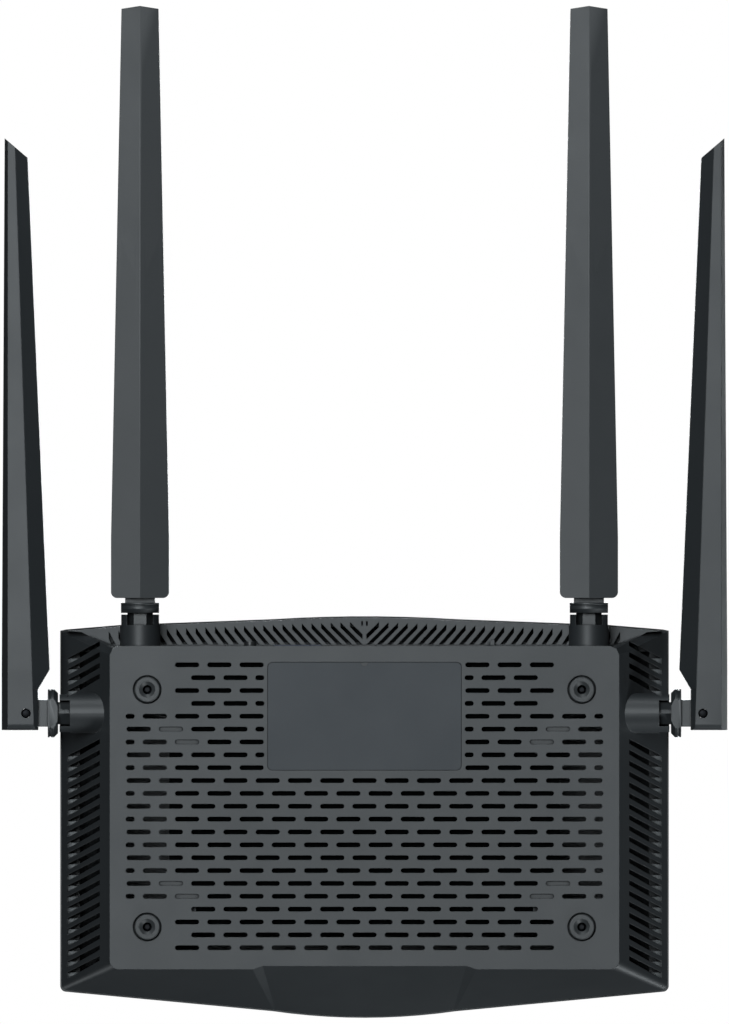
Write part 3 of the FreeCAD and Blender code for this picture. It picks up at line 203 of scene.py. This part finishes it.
def addNode(tree, kind, inputs, **options):
    # inputs maps a socket's name or number to a value, or to the output that feeds it
    node = tree.nodes.new(f"ShaderNode{kind}")
    for name, value in options.items():
        setattr(node, name, value)
    for name, value in inputs.items():
        if isinstance(value, bpy.types.NodeSocket):
            tree.links.new(value, node.inputs[name])
        else:
            node.inputs[name].default_value = value
    return node


grainShape = {"fineDetail": 3.0, "fineRoughness": 0.6, "slowScale": 38.0, "slowDetail": 4.0,
              "slowRoughness": 0.65, "speckFrom": (0.3, 0.7), "speckTo": (0.95, 1.05)}


def makeGrainGroup(look):
    # moulded or cast surface: fine grain, slow mottling of the colour, uneven gloss
    tree, given, result = newGroup("surfaceGrain", [
        ("Vector", "Vector", None), ("Colour", "Color", None), ("Grain", "Float", 2500.0),
        ("Mottle", "Float", 0.06), ("Roughness", "Float", 0.5), ("Spread", "Float", 0.1),
    ], [("Colour", "Color"), ("Roughness", "Float"), ("Height", "Float")])
    fine = addNode(tree, "TexNoise", {
        "Vector": given.outputs["Vector"], "Scale": given.outputs["Grain"],
        "Detail": look["fineDetail"], "Roughness": look["fineRoughness"]})
    slow = addNode(tree, "TexNoise", {
        "Vector": given.outputs["Vector"], "Scale": look["slowScale"],
        "Detail": look["slowDetail"], "Roughness": look["slowRoughness"]})
    centred = addNode(tree, "Math", {0: slow.outputs["Fac"], 1: 0.5}, operation="SUBTRACT")
    swing = addNode(tree, "Math", {
        0: centred.outputs[0], 1: given.outputs["Mottle"], 2: 1.0}, operation="MULTIPLY_ADD")
    speck = addNode(tree, "MapRange", {
        "Value": fine.outputs["Fac"],
        "From Min": look["speckFrom"][0], "From Max": look["speckFrom"][1],
        "To Min": look["speckTo"][0], "To Max": look["speckTo"][1]})
    both = addNode(tree, "Math", {0: swing.outputs[0], 1: speck.outputs[0]}, operation="MULTIPLY")
    tinted = addNode(tree, "VectorMath", {
        0: given.outputs["Colour"], "Scale": both.outputs[0]}, operation="SCALE")
    uneven = addNode(tree, "Math", {
        0: centred.outputs[0], 1: given.outputs["Spread"], 2: given.outputs["Roughness"]},
        operation="MULTIPLY_ADD")
    tree.links.new(tinted.outputs[0], result.inputs["Colour"])
    tree.links.new(uneven.outputs[0], result.inputs["Roughness"])
    tree.links.new(fine.outputs["Fac"], result.inputs["Height"])
    return tree


edgeShape = {"samples": 4, "open": 0.72, "closed": 0.3, "flatMatch": 0.99, "worn": 0.8}


def makeEdgeGroup(look):
    # softens a sharp edge, marks rubbed edges for wear and a painted highlight, and marks narrow
    # gaps and holes for painted shade
    tree, given, result = newGroup(
        "edgeWearHighlightShade", [("Radius", "Float", 0.0002), ("Reach", "Float", 0.0015)],
        [("Normal", "Vector"), ("RubbedHighlight", "Float"), ("Cavity", "Float")])
    hidden = addNode(tree, "AmbientOcclusion", {"Distance": given.outputs["Reach"]},
                     samples=look["samples"])
    cavity = addNode(tree, "MapRange", {
        "Value": hidden.outputs["AO"], "From Min": look["open"], "From Max": look["closed"]})
    tree.links.new(cavity.outputs[0], result.inputs["Cavity"])
    soft = addNode(tree, "Bevel", {"Radius": given.outputs["Radius"]},
                   samples=look["samples"])
    flat = addNode(tree, "NewGeometry", {})
    match = addNode(tree, "VectorMath", {
        0: soft.outputs["Normal"], 1: flat.outputs["Normal"]}, operation="DOT_PRODUCT")
    rubbedHighlight = addNode(tree, "MapRange", {
        "Value": match.outputs["Value"], "From Min": look["flatMatch"],
        "From Max": look["worn"]})
    tree.links.new(soft.outputs["Normal"], result.inputs["Normal"])
    tree.links.new(rubbedHighlight.outputs[0], result.inputs["RubbedHighlight"])
    return tree


surfaceGrain = makeGrainGroup(grainShape)
edgeWearHighlightShade = makeEdgeGroup(edgeShape)


def newFinish(name, look):
    # a material with the shader's constant values set on its own sockets
    material = bpy.data.materials.new(name)
    material.use_nodes = True
    tree = material.node_tree
    tree.nodes.clear()
    shader = tree.nodes.new("ShaderNodeBsdfPrincipled")
    output = tree.nodes.new("ShaderNodeOutputMaterial")
    tree.links.new(shader.outputs["BSDF"], output.inputs["Surface"])
    shader.inputs["Metallic"].default_value = look.get("metallic", 0.0)
    shader.inputs["IOR"].default_value = look.get("ior", 1.5)
    shader.inputs["Specular IOR Level"].default_value = look.get("specular", 0.5)
    shader.inputs["Transmission Weight"].default_value = look.get("clear", 0.0)
    return material, tree, shader


def dressSurface(tree, shader, look, stretch=None, tint=None):
    # grain, edge wear with a painted highlight, painted shade in gaps and holes, and bump that
    # every finish shares
    spot = addNode(tree, "TexCoord", {}).outputs["Object"]
    if stretch:
        spot = addNode(tree, "Mapping", {"Vector": spot, "Scale": stretch}).outputs[0]
    grain = addNode(tree, "Group", {
        "Vector": spot, "Colour": (*look["colour"], 1.0), "Grain": look["grain"],
        "Mottle": look["mottle"], "Roughness": look["roughness"], "Spread": look["spread"]},
        node_tree=surfaceGrain)
    edge = addNode(tree, "Group", {
        "Radius": look["edge"] * mm, "Reach": look["cavityReach"] * mm}, node_tree=edgeWearHighlightShade)
    # wear and a painted highlight: rubbed edges are mixed towards a lighter colour
    share = addNode(tree, "Math", {
        0: edge.outputs["RubbedHighlight"], 1: look["wear"]}, operation="MULTIPLY")
    base = tint(tree, grain.outputs["Colour"]) if tint else grain.outputs["Colour"]
    colour = addNode(tree, "Mix", {
        0: share.outputs[0], 6: base, 7: (*look["rubbedHighlight"], 1.0)}, data_type="RGBA")
    # painted shade: gaps, holes and the insides of the casing are mixed towards near black and
    # made dull
    paintedShade = addNode(tree, "Math", {
        0: edge.outputs["Cavity"], 1: look["paintedShade"]}, operation="MULTIPLY")
    shaded = addNode(tree, "Mix", {
        0: paintedShade.outputs[0], 6: colour.outputs[2], 7: (*look["paintedShadeColour"], 1.0)},
        data_type="RGBA")
    dull = addNode(tree, "Mix", {
        0: paintedShade.outputs[0], 2: grain.outputs["Roughness"], 3: look["paintedShadeRoughness"]},
        data_type="FLOAT")
    bump = addNode(tree, "Bump", {
        "Height": grain.outputs["Height"], "Distance": look["depth"] * mm,
        "Strength": look["bump"], "Normal": edge.outputs["Normal"]})
    tree.links.new(shaded.outputs[2], shader.inputs["Base Color"])
    tree.links.new(dull.outputs[0], shader.inputs["Roughness"])
    tree.links.new(bump.outputs["Normal"], shader.inputs["Normal"])


rubbedHighlightGain, rubbedHighlightLift = 1.8, 0.01   # worn edges are painted this much lighter: wear and a painted highlight


def finishLook(colour, roughness, **more):
    # the settings that most finishes share, with a finish's own ones put over them
    look = {
        "colour": colour, "roughness": roughness,
        "rubbedHighlight": [min(1.0, part * rubbedHighlightGain + rubbedHighlightLift) for part in colour],
        "grain": 2600.0, "mottle": 0.08, "spread": 0.12, "edge": 0.25, "wear": 0.35,
        "depth": 0.03, "bump": 0.25,
        # painted shade where the occlusion mask finds gaps and holes: its colour and roughness
        "cavityReach": 1.6, "paintedShade": 0.9, "paintedShadeColour": (0.0015, 0.0016, 0.0018),
        "paintedShadeRoughness": 1.0,
    }
    look.update(more)
    return look


finishes = {
    "casing_plastic": finishLook((0.0185, 0.0212, 0.0232), 0.48, wear=0.3),
    # the long reach darkens the whole inside of the cover as painted shade
    "cover_plastic": finishLook((0.0180, 0.0195, 0.0210), 0.54, wear=0.3, cavityReach=25.0),
    "antenna_plastic": finishLook((0.0185, 0.0212, 0.0232), 0.48, wear=0.3),
    "knuckle_plastic": finishLook((0.0185, 0.0210, 0.0228), 0.42, wear=0.4),
    "label_film": finishLook((0.0105, 0.0152, 0.0205), 0.54, grain=900.0, bump=0.08, edge=0.1),
    "foot_rubber": finishLook((0.0230, 0.0255, 0.0270), 0.50, grain=3400.0, bump=0.4),
    "steel": finishLook((0.014, 0.0145, 0.016), 0.50, metallic=1.0, bump=0.12, grain=1800.0),
    "tinned_steel": finishLook((0.62, 0.62, 0.60), 0.34, metallic=1.0, bump=0.15, grain=1400.0),
    "brass_contact": finishLook((0.83, 0.62, 0.27), 0.26, metallic=1.0, bump=0.1),
    "chip_epoxy": finishLook((0.016, 0.016, 0.018), 0.55, grain=3600.0, edge=0.12),
    "port_blue": finishLook((0.004, 0.012, 0.034), 0.46, wear=0.1),
    "port_black": finishLook((0.012, 0.012, 0.013), 0.42, wear=0.3),
    "heat_sink_metal": finishLook((0.52, 0.53, 0.55), 0.42, metallic=1.0, bump=0.3,
                                  grain=1200.0),
    "pad_silicone": finishLook((0.28, 0.34, 0.42), 0.7, grain=1500.0, bump=0.4),
    "button_plastic": finishLook((0.015, 0.016, 0.017), 0.40, wear=0.4),
    "lamp_body": finishLook((0.72, 0.66, 0.38), 0.30, edge=0.08, bump=0.1),
    "pipe_acrylic": finishLook((0.86, 0.90, 0.92), 0.14, clear=0.85, ior=1.49, bump=0.05),
    "capacitor_can": finishLook((0.035, 0.045, 0.10), 0.36, bump=0.1),
    "lead_jacket": finishLook((0.018, 0.018, 0.019), 0.44, grain=2000.0),
    "transformer_case": finishLook((0.014, 0.014, 0.015), 0.5),
    "inductor_ferrite": finishLook((0.045, 0.042, 0.040), 0.7, grain=1500.0, bump=0.5),
    # near-black laminate with little specular: painted shade that keeps the board seen through the
    # vents dark
    "board_laminate": finishLook((0.0022, 0.0042, 0.0034), 0.60, specular=0.06, edge=0.1,
                                 bump=0.1, cavityReach=8.0),
    "antenna_laminate": finishLook((0.012, 0.055, 0.030), 0.36, edge=0.1, bump=0.1),
}


# The flat ledges at the outer ends of the side vents are painted lighter: a painted pool of light
# where light falls in through the vents.
ledgePaintedLightLook = {"level": 26.8 * mm, "reach": 0.35 * mm, "out": 90.0 * mm, "facing": -0.9,
             "colour": (0.13, 0.14, 0.145)}


def ledgePaintedLight(tree, base):
    spot = addNode(tree, "TexCoord", {})
    parts = addNode(tree, "SeparateXYZ", {"Vector": spot.outputs["Object"]})
    normal = addNode(tree, "SeparateXYZ", {"Vector": spot.outputs["Normal"]})
    nearLevel = addNode(tree, "Math", {
        0: parts.outputs["Z"], 1: ledgePaintedLightLook["level"], 2: ledgePaintedLightLook["reach"]},
        operation="COMPARE")
    facing = addNode(tree, "Math", {0: normal.outputs["Z"], 1: ledgePaintedLightLook["facing"]},
                     operation="LESS_THAN")
    side = addNode(tree, "Math", {0: parts.outputs["X"]}, operation="ABSOLUTE")
    outside = addNode(tree, "Math", {0: side.outputs[0], 1: ledgePaintedLightLook["out"]},
                      operation="GREATER_THAN")
    first = addNode(tree, "Math", {0: nearLevel.outputs[0], 1: facing.outputs[0]},
                    operation="MULTIPLY")
    mask = addNode(tree, "Math", {0: first.outputs[0], 1: outside.outputs[0]},
                   operation="MULTIPLY")
    # painted light: down-facing ledge faces near the vent level and far out are mixed to a light
    # grey
    mixed = addNode(tree, "Mix", {0: mask.outputs[0], 6: base, 7: (*ledgePaintedLightLook["colour"], 1.0)},
                    data_type="RGBA")
    return mixed.outputs[2]


# Copper tracks under the solder mask, and bare pads, as a shared pattern for both boards.
trackLook = {"tracks": 420.0, "trackDrift": 0.35, "trackWide": 0.12,
             "mask": (0.0034, 0.0066, 0.0052), "pads": 300.0, "padDrift": 0.6,
             "padSize": 0.17, "pad": (0.72, 0.60, 0.34)}


def boardTint(tree, base):
    spot = addNode(tree, "TexCoord", {}).outputs["Object"]
    cells = addNode(tree, "TexVoronoi", {
        "Vector": spot, "Scale": trackLook["tracks"], "Randomness": trackLook["trackDrift"]},
        feature="DISTANCE_TO_EDGE")
    track = addNode(tree, "Math", {0: cells.outputs["Distance"], 1: trackLook["trackWide"]},
                    operation="LESS_THAN")
    masked = addNode(tree, "Mix", {
        0: track.outputs[0], 6: base, 7: (*trackLook["mask"], 1.0)}, data_type="RGBA")
    dots = addNode(tree, "TexVoronoi", {
        "Vector": spot, "Scale": trackLook["pads"],
        "Randomness": trackLook["padDrift"]})
    pad = addNode(tree, "Math", {0: dots.outputs["Distance"], 1: trackLook["padSize"]},
                  operation="LESS_THAN")
    mixed = addNode(tree, "Mix", {
        0: pad.outputs[0], 6: masked.outputs[2], 7: (*trackLook["pad"], 1.0)}, data_type="RGBA")
    return mixed.outputs[2]


tints = {"casing_plastic": ledgePaintedLight, "board_laminate": boardTint, "antenna_laminate": boardTint}
stretches = {"heat_sink_metal": (1.0, 0.06, 1.0), "tinned_steel": (0.15, 1.0, 1.0)}


def makeFinish(slotName):
    look = finishes[slotName]
    material, tree, shader = newFinish(slotName, look)
    dressSurface(tree, shader, look, stretches.get(slotName), tints.get(slotName))
    return material


materials = {slotName: makeFinish(slotName) for slotName in finishes}
for nodeName, slotName in slotOf.items():
    nodes[nodeName].material_slots[0].material = materials[slotName]
print("finishes made:", len(materials))


mergeGap = 1e-6
roundSteps = 2
flatSided = ("_blade", "_blade_cover")   # sides that meet at slight angles stay crisp
flatAngle, slightCrease, usualCrease, usualSharp = 0.5, 15.0, 25.0, 35.0


def finishPiece(mesh, name, like, replaced=(), slotName=None, sharp=usualSharp, bevel=None,
                crease=usualCrease):
    # turns a bmesh into a piece that rides with the node called like
    bmesh.ops.remove_doubles(mesh, verts=mesh.verts, dist=mergeGap)
    bmesh.ops.recalc_face_normals(mesh, faces=mesh.faces)
    data = bpy.data.meshes.new(name)
    mesh.to_mesh(data)
    mesh.free()
    slotName = slotName or slotOf[like]
    data.materials.append(materials[slotName])
    data.shade_smooth()
    piece = bpy.data.objects.new(name, data)
    bpy.context.scene.collection.objects.link(piece)
    if bevel:
        rounder = piece.modifiers.new("softEdges", "BEVEL")
        rounder.width = bevel
        rounder.segments = roundSteps
        rounder.limit_method = "ANGLE"
        rounder.angle_limit = math.radians(crease)
        rounder.harden_normals = True
    data.set_sharp_from_angle(angle=math.radians(crease if bevel else sharp))
    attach(piece, body_of(nodes[like])[0])
    if replaced:
        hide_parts(*replaced)
    return piece


def turn(mesh, profile, spot, axis="Z", steps=40):
    # a turned shape from (radius, along) pairs about an axis through spot
    start = len(mesh.verts)
    line = [mesh.verts.new((radius, 0.0, along)) for radius, along in profile]
    edges = [mesh.edges.new(pair) for pair in zip(line, line[1:])]
    if profile[0][0] > 0.0 and profile[-1][0] > 0.0:
        edges.append(mesh.edges.new((line[-1], line[0])))
    bmesh.ops.spin(mesh, geom=line + edges, cent=(0, 0, 0), axis=(0, 0, 1),
                   angle=2 * math.pi, steps=steps, use_merge=True)
    mesh.verts.ensure_lookup_table()
    swing = {"X": Matrix.Rotation(math.pi / 2, 4, "Y"), "Y": Matrix.Rotation(-math.pi / 2, 4, "X"),
             "Z": Matrix.Identity(4)}[axis]
    bmesh.ops.transform(mesh, matrix=Matrix.Translation(spot) @ swing, verts=mesh.verts[start:])


def block(mesh, low, high):
    # a plain block between two corners, for small parts that are blocks
    middle = (Vector(low) + Vector(high)) / 2
    size = Vector(high) - Vector(low)
    made = bmesh.ops.create_cube(mesh, size=1.0)
    bmesh.ops.scale(mesh, vec=size, verts=made["verts"])
    bmesh.ops.translate(mesh, vec=middle, verts=made["verts"])


def cornersIn(nodeName, inset):
    # the four upright axes, this far in from the corners of a node's box
    low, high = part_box(nodeName)
    return [Vector((x, y, low.z)) for x in (low.x + inset, high.x - inset)
            for y in (low.y + inset, high.y - inset)]


# Moulded and pressed pieces keep their shape and get small rounded edges.
softEdges = {
    "power_inlet": 0.25, "pair_button": 0.25, "heat_sink": 0.2,
    "processor": 0.15, "memory_chips": 0.12, "radio_chips": 0.1, "line_transformers": 0.4,
    "clock_crystal": 0.2, "power_inductors": 0.5, "tact_switch": 0.3, "thermal_pad": 0.12,
    "shield_cans": 0.15, "board_screws": 0.12, "status_lamps": 0.1, "light_pipe": 0.12,
    **{portName: 0.25 for portName in portNames},
}
antennaEdges = {"blade": 0.32, "blade_cover": 0.32, "knuckle": 0.22, "clip": 0.1,
                "radiator": 0.1}
for antennaName in antennaNames:
    softEdges.update({f"{antennaName}_{part}": width for part, width in antennaEdges.items()})


def softPiece(nodeName, width):
    # a merged copy of a node with its edges rounded
    mesh = bmesh.new()
    mesh.from_mesh(nodes[nodeName].data)
    bmesh.ops.remove_doubles(mesh, verts=mesh.verts, dist=mergeGap)
    bmesh.ops.dissolve_limit(mesh, angle_limit=math.radians(flatAngle), verts=mesh.verts,
                             edges=mesh.edges)
    finishPiece(mesh, f"{nodeName}_soft", nodeName, [nodeName], bevel=width * mm,
                crease=slightCrease if nodeName.endswith(flatSided) else usualCrease)


for nodeName, width in softEdges.items():
    softPiece(nodeName, width)
print("rounded pieces made:", len(softEdges))


roundedEnd = ((1.0, 0.0), (0.3, 0.3), (0.0, 1.0))   # a rounded corner, in and up by these shares

footLook = {"radius": 4.16, "hole": 1.5, "sink": 2.55, "sinkDeep": 0.7, "round": 0.3, "high": 2.15,
            "lip": ((-0.1, 0.14), (0.0, 0.04), (0.12, 0.0)), "steps": 56, "sharp": 12.0}


def makeFeet(look):
    # rings with a countersunk hole
    mesh = bmesh.new()
    r, soft = look["radius"], look["round"]
    profile = [(look["hole"], look["high"]), (look["hole"], look["sinkDeep"])]
    profile += [(look["sink"] + out, up) for out, up in look["lip"]]
    profile += [(r - soft * a, soft * b) for a, b in roundedEnd] + [(r, look["high"])]
    for spot in cornersIn("feet", r * mm):
        turn(mesh, [(a * mm, b * mm) for a, b in profile], spot, steps=look["steps"])
    finishPiece(mesh, "rubber_feet", "feet", ["feet"], sharp=look["sharp"])


screwLook = {"head": 2.75, "headHigh": 1.8, "pip": 0.9, "pipRound": 0.1, "drive": 1.45,
             "driveRound": 0.12, "driveDeep": 0.8, "shank": 1.3, "root": 1.0, "pitch": 0.6,
             "edge": ((0.3, 0.0), (0.08, 0.1), (0.0, 0.35)), "steps": 32, "sharp": 18.0}


def makeCaseScrews(look):
    # a ring-shaped drive round a pip, and a threaded shank
    mesh = bmesh.new()
    low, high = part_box("case_screws")
    end = (high.z - low.z) / mm
    profile = [(0.0, 0.0), (look["pip"] - look["pipRound"], 0.0), (look["pip"], look["pipRound"]),
               (look["pip"], look["driveDeep"]), (look["drive"], look["driveDeep"]),
               (look["drive"], look["driveRound"]), (look["drive"] + look["driveRound"], 0.0)]
    profile += [(look["head"] - a, b) for a, b in look["edge"]]
    profile += [(look["head"], look["headHigh"]), (look["shank"], look["headHigh"])]
    along = look["headHigh"] + look["pitch"]
    while along < end - look["pitch"] * 2:
        profile += [(look["root"], along), (look["shank"], along + look["pitch"] / 2)]
        along += look["pitch"]
    profile += [(look["root"], end - look["pitch"]), (0.0, end)]
    for spot in cornersIn("case_screws", look["head"] * mm):
        turn(mesh, [(a * mm, b * mm) for a, b in profile], spot, steps=look["steps"])
    finishPiece(mesh, "casing_screws", "case_screws", ["case_screws"], sharp=look["sharp"])


pinLook = {"round": 0.35, "steps": 28}


def makeHingePins(look):
    for name in antennaNames:
        low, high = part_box(f"{name}_hinge_pin")
        size = high - low
        axis = "XYZ"[max(range(3), key=lambda i: size[i])]
        half, radius = max(size) / 2, min(size) / 2
        soft = look["round"] * mm
        near = [(radius - soft * a, soft * b - half) for a, b in roundedEnd]
        profile = [(0.0, -half), *near, *[(a, -b) for a, b in reversed(near)], (0.0, half)]
        mesh = bmesh.new()
        turn(mesh, profile, (low + high) / 2, axis, steps=look["steps"])
        finishPiece(mesh, f"{name}_pin", f"{name}_hinge_pin", [f"{name}_hinge_pin"])


canLook = {"radius": 3.2, "foot": 0.3, "round": 0.5, "shoulder": (0.4, 0.12), "groove": 0.35,
           "grooveUp": 1.2, "grooveHalf": 0.3, "rimIn": 0.9, "ventIn": 1.0, "vent": 0.12,
           "sharp": 40.0}


def makeCapacitors(look):
    mesh = bmesh.new()
    low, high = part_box("capacitors")
    r, tall = look["radius"], (high.z - low.z) / mm
    up, deep, half = look["grooveUp"], look["groove"], look["grooveHalf"]
    share, down = look["shoulder"]
    profile = [(0.0, 0.0), (r - look["foot"], 0.0), (r, look["foot"]), (r, up - half),
               (r - deep, up), (r, up + half), (r, tall - look["round"]),
               (r - look["round"] * share, tall - down), (r - look["round"], tall),
               (r - look["rimIn"], tall), (r - look["ventIn"], tall - look["vent"]),
               (0.0, tall - look["vent"])]
    for y in (low.y + r * mm, high.y - r * mm):
        turn(mesh, [(a * mm, b * mm) for a, b in profile], ((low.x + high.x) / 2, y, low.z))
    finishPiece(mesh, "capacitor_cans", "capacitors", ["capacitors"], sharp=look["sharp"])


contactLook = {"count": 8, "pitch": 1.02, "half": 0.2, "thick": 0.22,
               "path": ((0.0, 0.0), (0.2, 0.04), (0.72, 0.70), (0.82, 0.78), (0.92, 0.66),
                        (1.0, 0.42))}


def makeContacts(look):
    # each contact is a strip that rises from the back of the port to a bent tip
    mesh = bmesh.new()
    low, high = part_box("port_contacts")
    long, tall = high.y - low.y, high.z - low.z
    for portName in portNames:
        portLow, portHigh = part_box(portName)
        middle = (portLow.x + portHigh.x) / 2
        for i in range(look["count"]):
            x = middle + (i - (look["count"] - 1) / 2) * look["pitch"] * mm
            under = [(x - look["half"] * mm, low.y + a * long, low.z + b * tall)
                     for a, b in look["path"]]
            over = [(across, y, z + look["thick"] * mm) for across, y, z in reversed(under)]
            face = mesh.faces.new([mesh.verts.new(p) for p in under + over])
            made = bmesh.ops.extrude_face_region(mesh, geom=[face])
            moved = [v for v in made["geom"] if isinstance(v, bmesh.types.BMVert)]
            bmesh.ops.translate(mesh, vec=(look["half"] * 2 * mm, 0, 0), verts=moved)
    finishPiece(mesh, "contact_springs", "port_contacts", ["port_contacts"])


inletLook = {"pin": 1.0, "round": 0.3, "tip": ((0.0, 1.5), (0.6, 0.4), (1.6, 0.0)), "steps": 24}


def makeInletPin(look):
    low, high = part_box("power_inlet_pin")
    half, radius, soft = (high.y - low.y) / 2, look["pin"] * mm, look["round"] * mm
    tip = [(radius - soft * a, half - soft * b) for a, b in look["tip"]]
    mesh = bmesh.new()
    turn(mesh, [(0.0, -half), (radius, -half), *tip, (0.0, half)], (low + high) / 2, "Y",
         steps=look["steps"])
    finishPiece(mesh, "inlet_centre_pin", "power_inlet_pin", ["power_inlet_pin"])


makeFeet(footLook)
makeCaseScrews(screwLook)
makeHingePins(pinLook)
makeCapacitors(canLook)
makeContacts(contactLook)
makeInletPin(inletLook)
print("turned and bent pieces made")


smallPartLook = {"count": 90, "seed": 7, "long": 1.0, "wide": 0.5, "high": 0.35, "cap": 0.22,
                 "capStep": 0.94, "margin": 1.2, "sideIn": 8.0, "frontIn": 4.0, "rearIn": 18.0,
                 "canMiddle": 40.0, "canHalf": 13.0,
                 "ignored": ("main_board", "bottom_shell", "top_cover", "coax_leads",
                             "board_screws", "case_screws", "feet", "shield_cans",
                             "status_lamps", "light_pipe", "rating_label")}


def makeSmallParts(look):
    # resistors and capacitors between the larger packages on the board
    low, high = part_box("main_board")
    taken = [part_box(name) for name in slotOf
             if name not in look["ignored"] and body_of(nodes[name])[0] == "base"]
    canLow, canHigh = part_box("shield_cans")
    for side in (-1, 1):
        middle, half = side * look["canMiddle"] * mm, look["canHalf"] * mm
        taken.append((Vector((middle - half, canLow.y, 0)), Vector((middle + half, canHigh.y, 0))))
    draw = random.Random(look["seed"])
    bodies, caps = bmesh.new(), bmesh.new()
    clear = look["margin"] * mm
    made = 0
    while made < look["count"]:
        x = draw.uniform(low.x + look["sideIn"] * mm, high.x - look["sideIn"] * mm)
        y = draw.uniform(low.y + look["frontIn"] * mm, high.y - look["rearIn"] * mm)
        along = draw.random() < 0.5
        blocked = any(a.x - clear < x < b.x + clear and a.y - clear < y < b.y + clear
                      for a, b in taken)
        if blocked:
            continue
        made += 1
        half = Vector((look["long"] / 2, look["wide"] / 2, 0)) * mm
        cap = Vector((look["cap"], 0, 0)) * mm
        if not along:
            half, cap = half.yxz, cap.yxz
        spot = Vector((x, y, high.z))
        top = Vector((0, 0, look["high"] * mm))
        block(bodies, spot - half + cap, spot + half - cap + top * look["capStep"])
        across = Vector((0, half.y * 2, 0)) if along else Vector((half.x * 2, 0, 0))
        block(caps, spot - half, spot - half + cap + across + top)
        block(caps, spot + half - cap - across, spot + half + top)
    finishPiece(bodies, "small_part_bodies", "main_board", slotName="chip_epoxy")
    finishPiece(caps, "small_part_caps", "main_board", slotName="tinned_steel")


makeSmallParts(smallPartLook)
print("small board parts made")
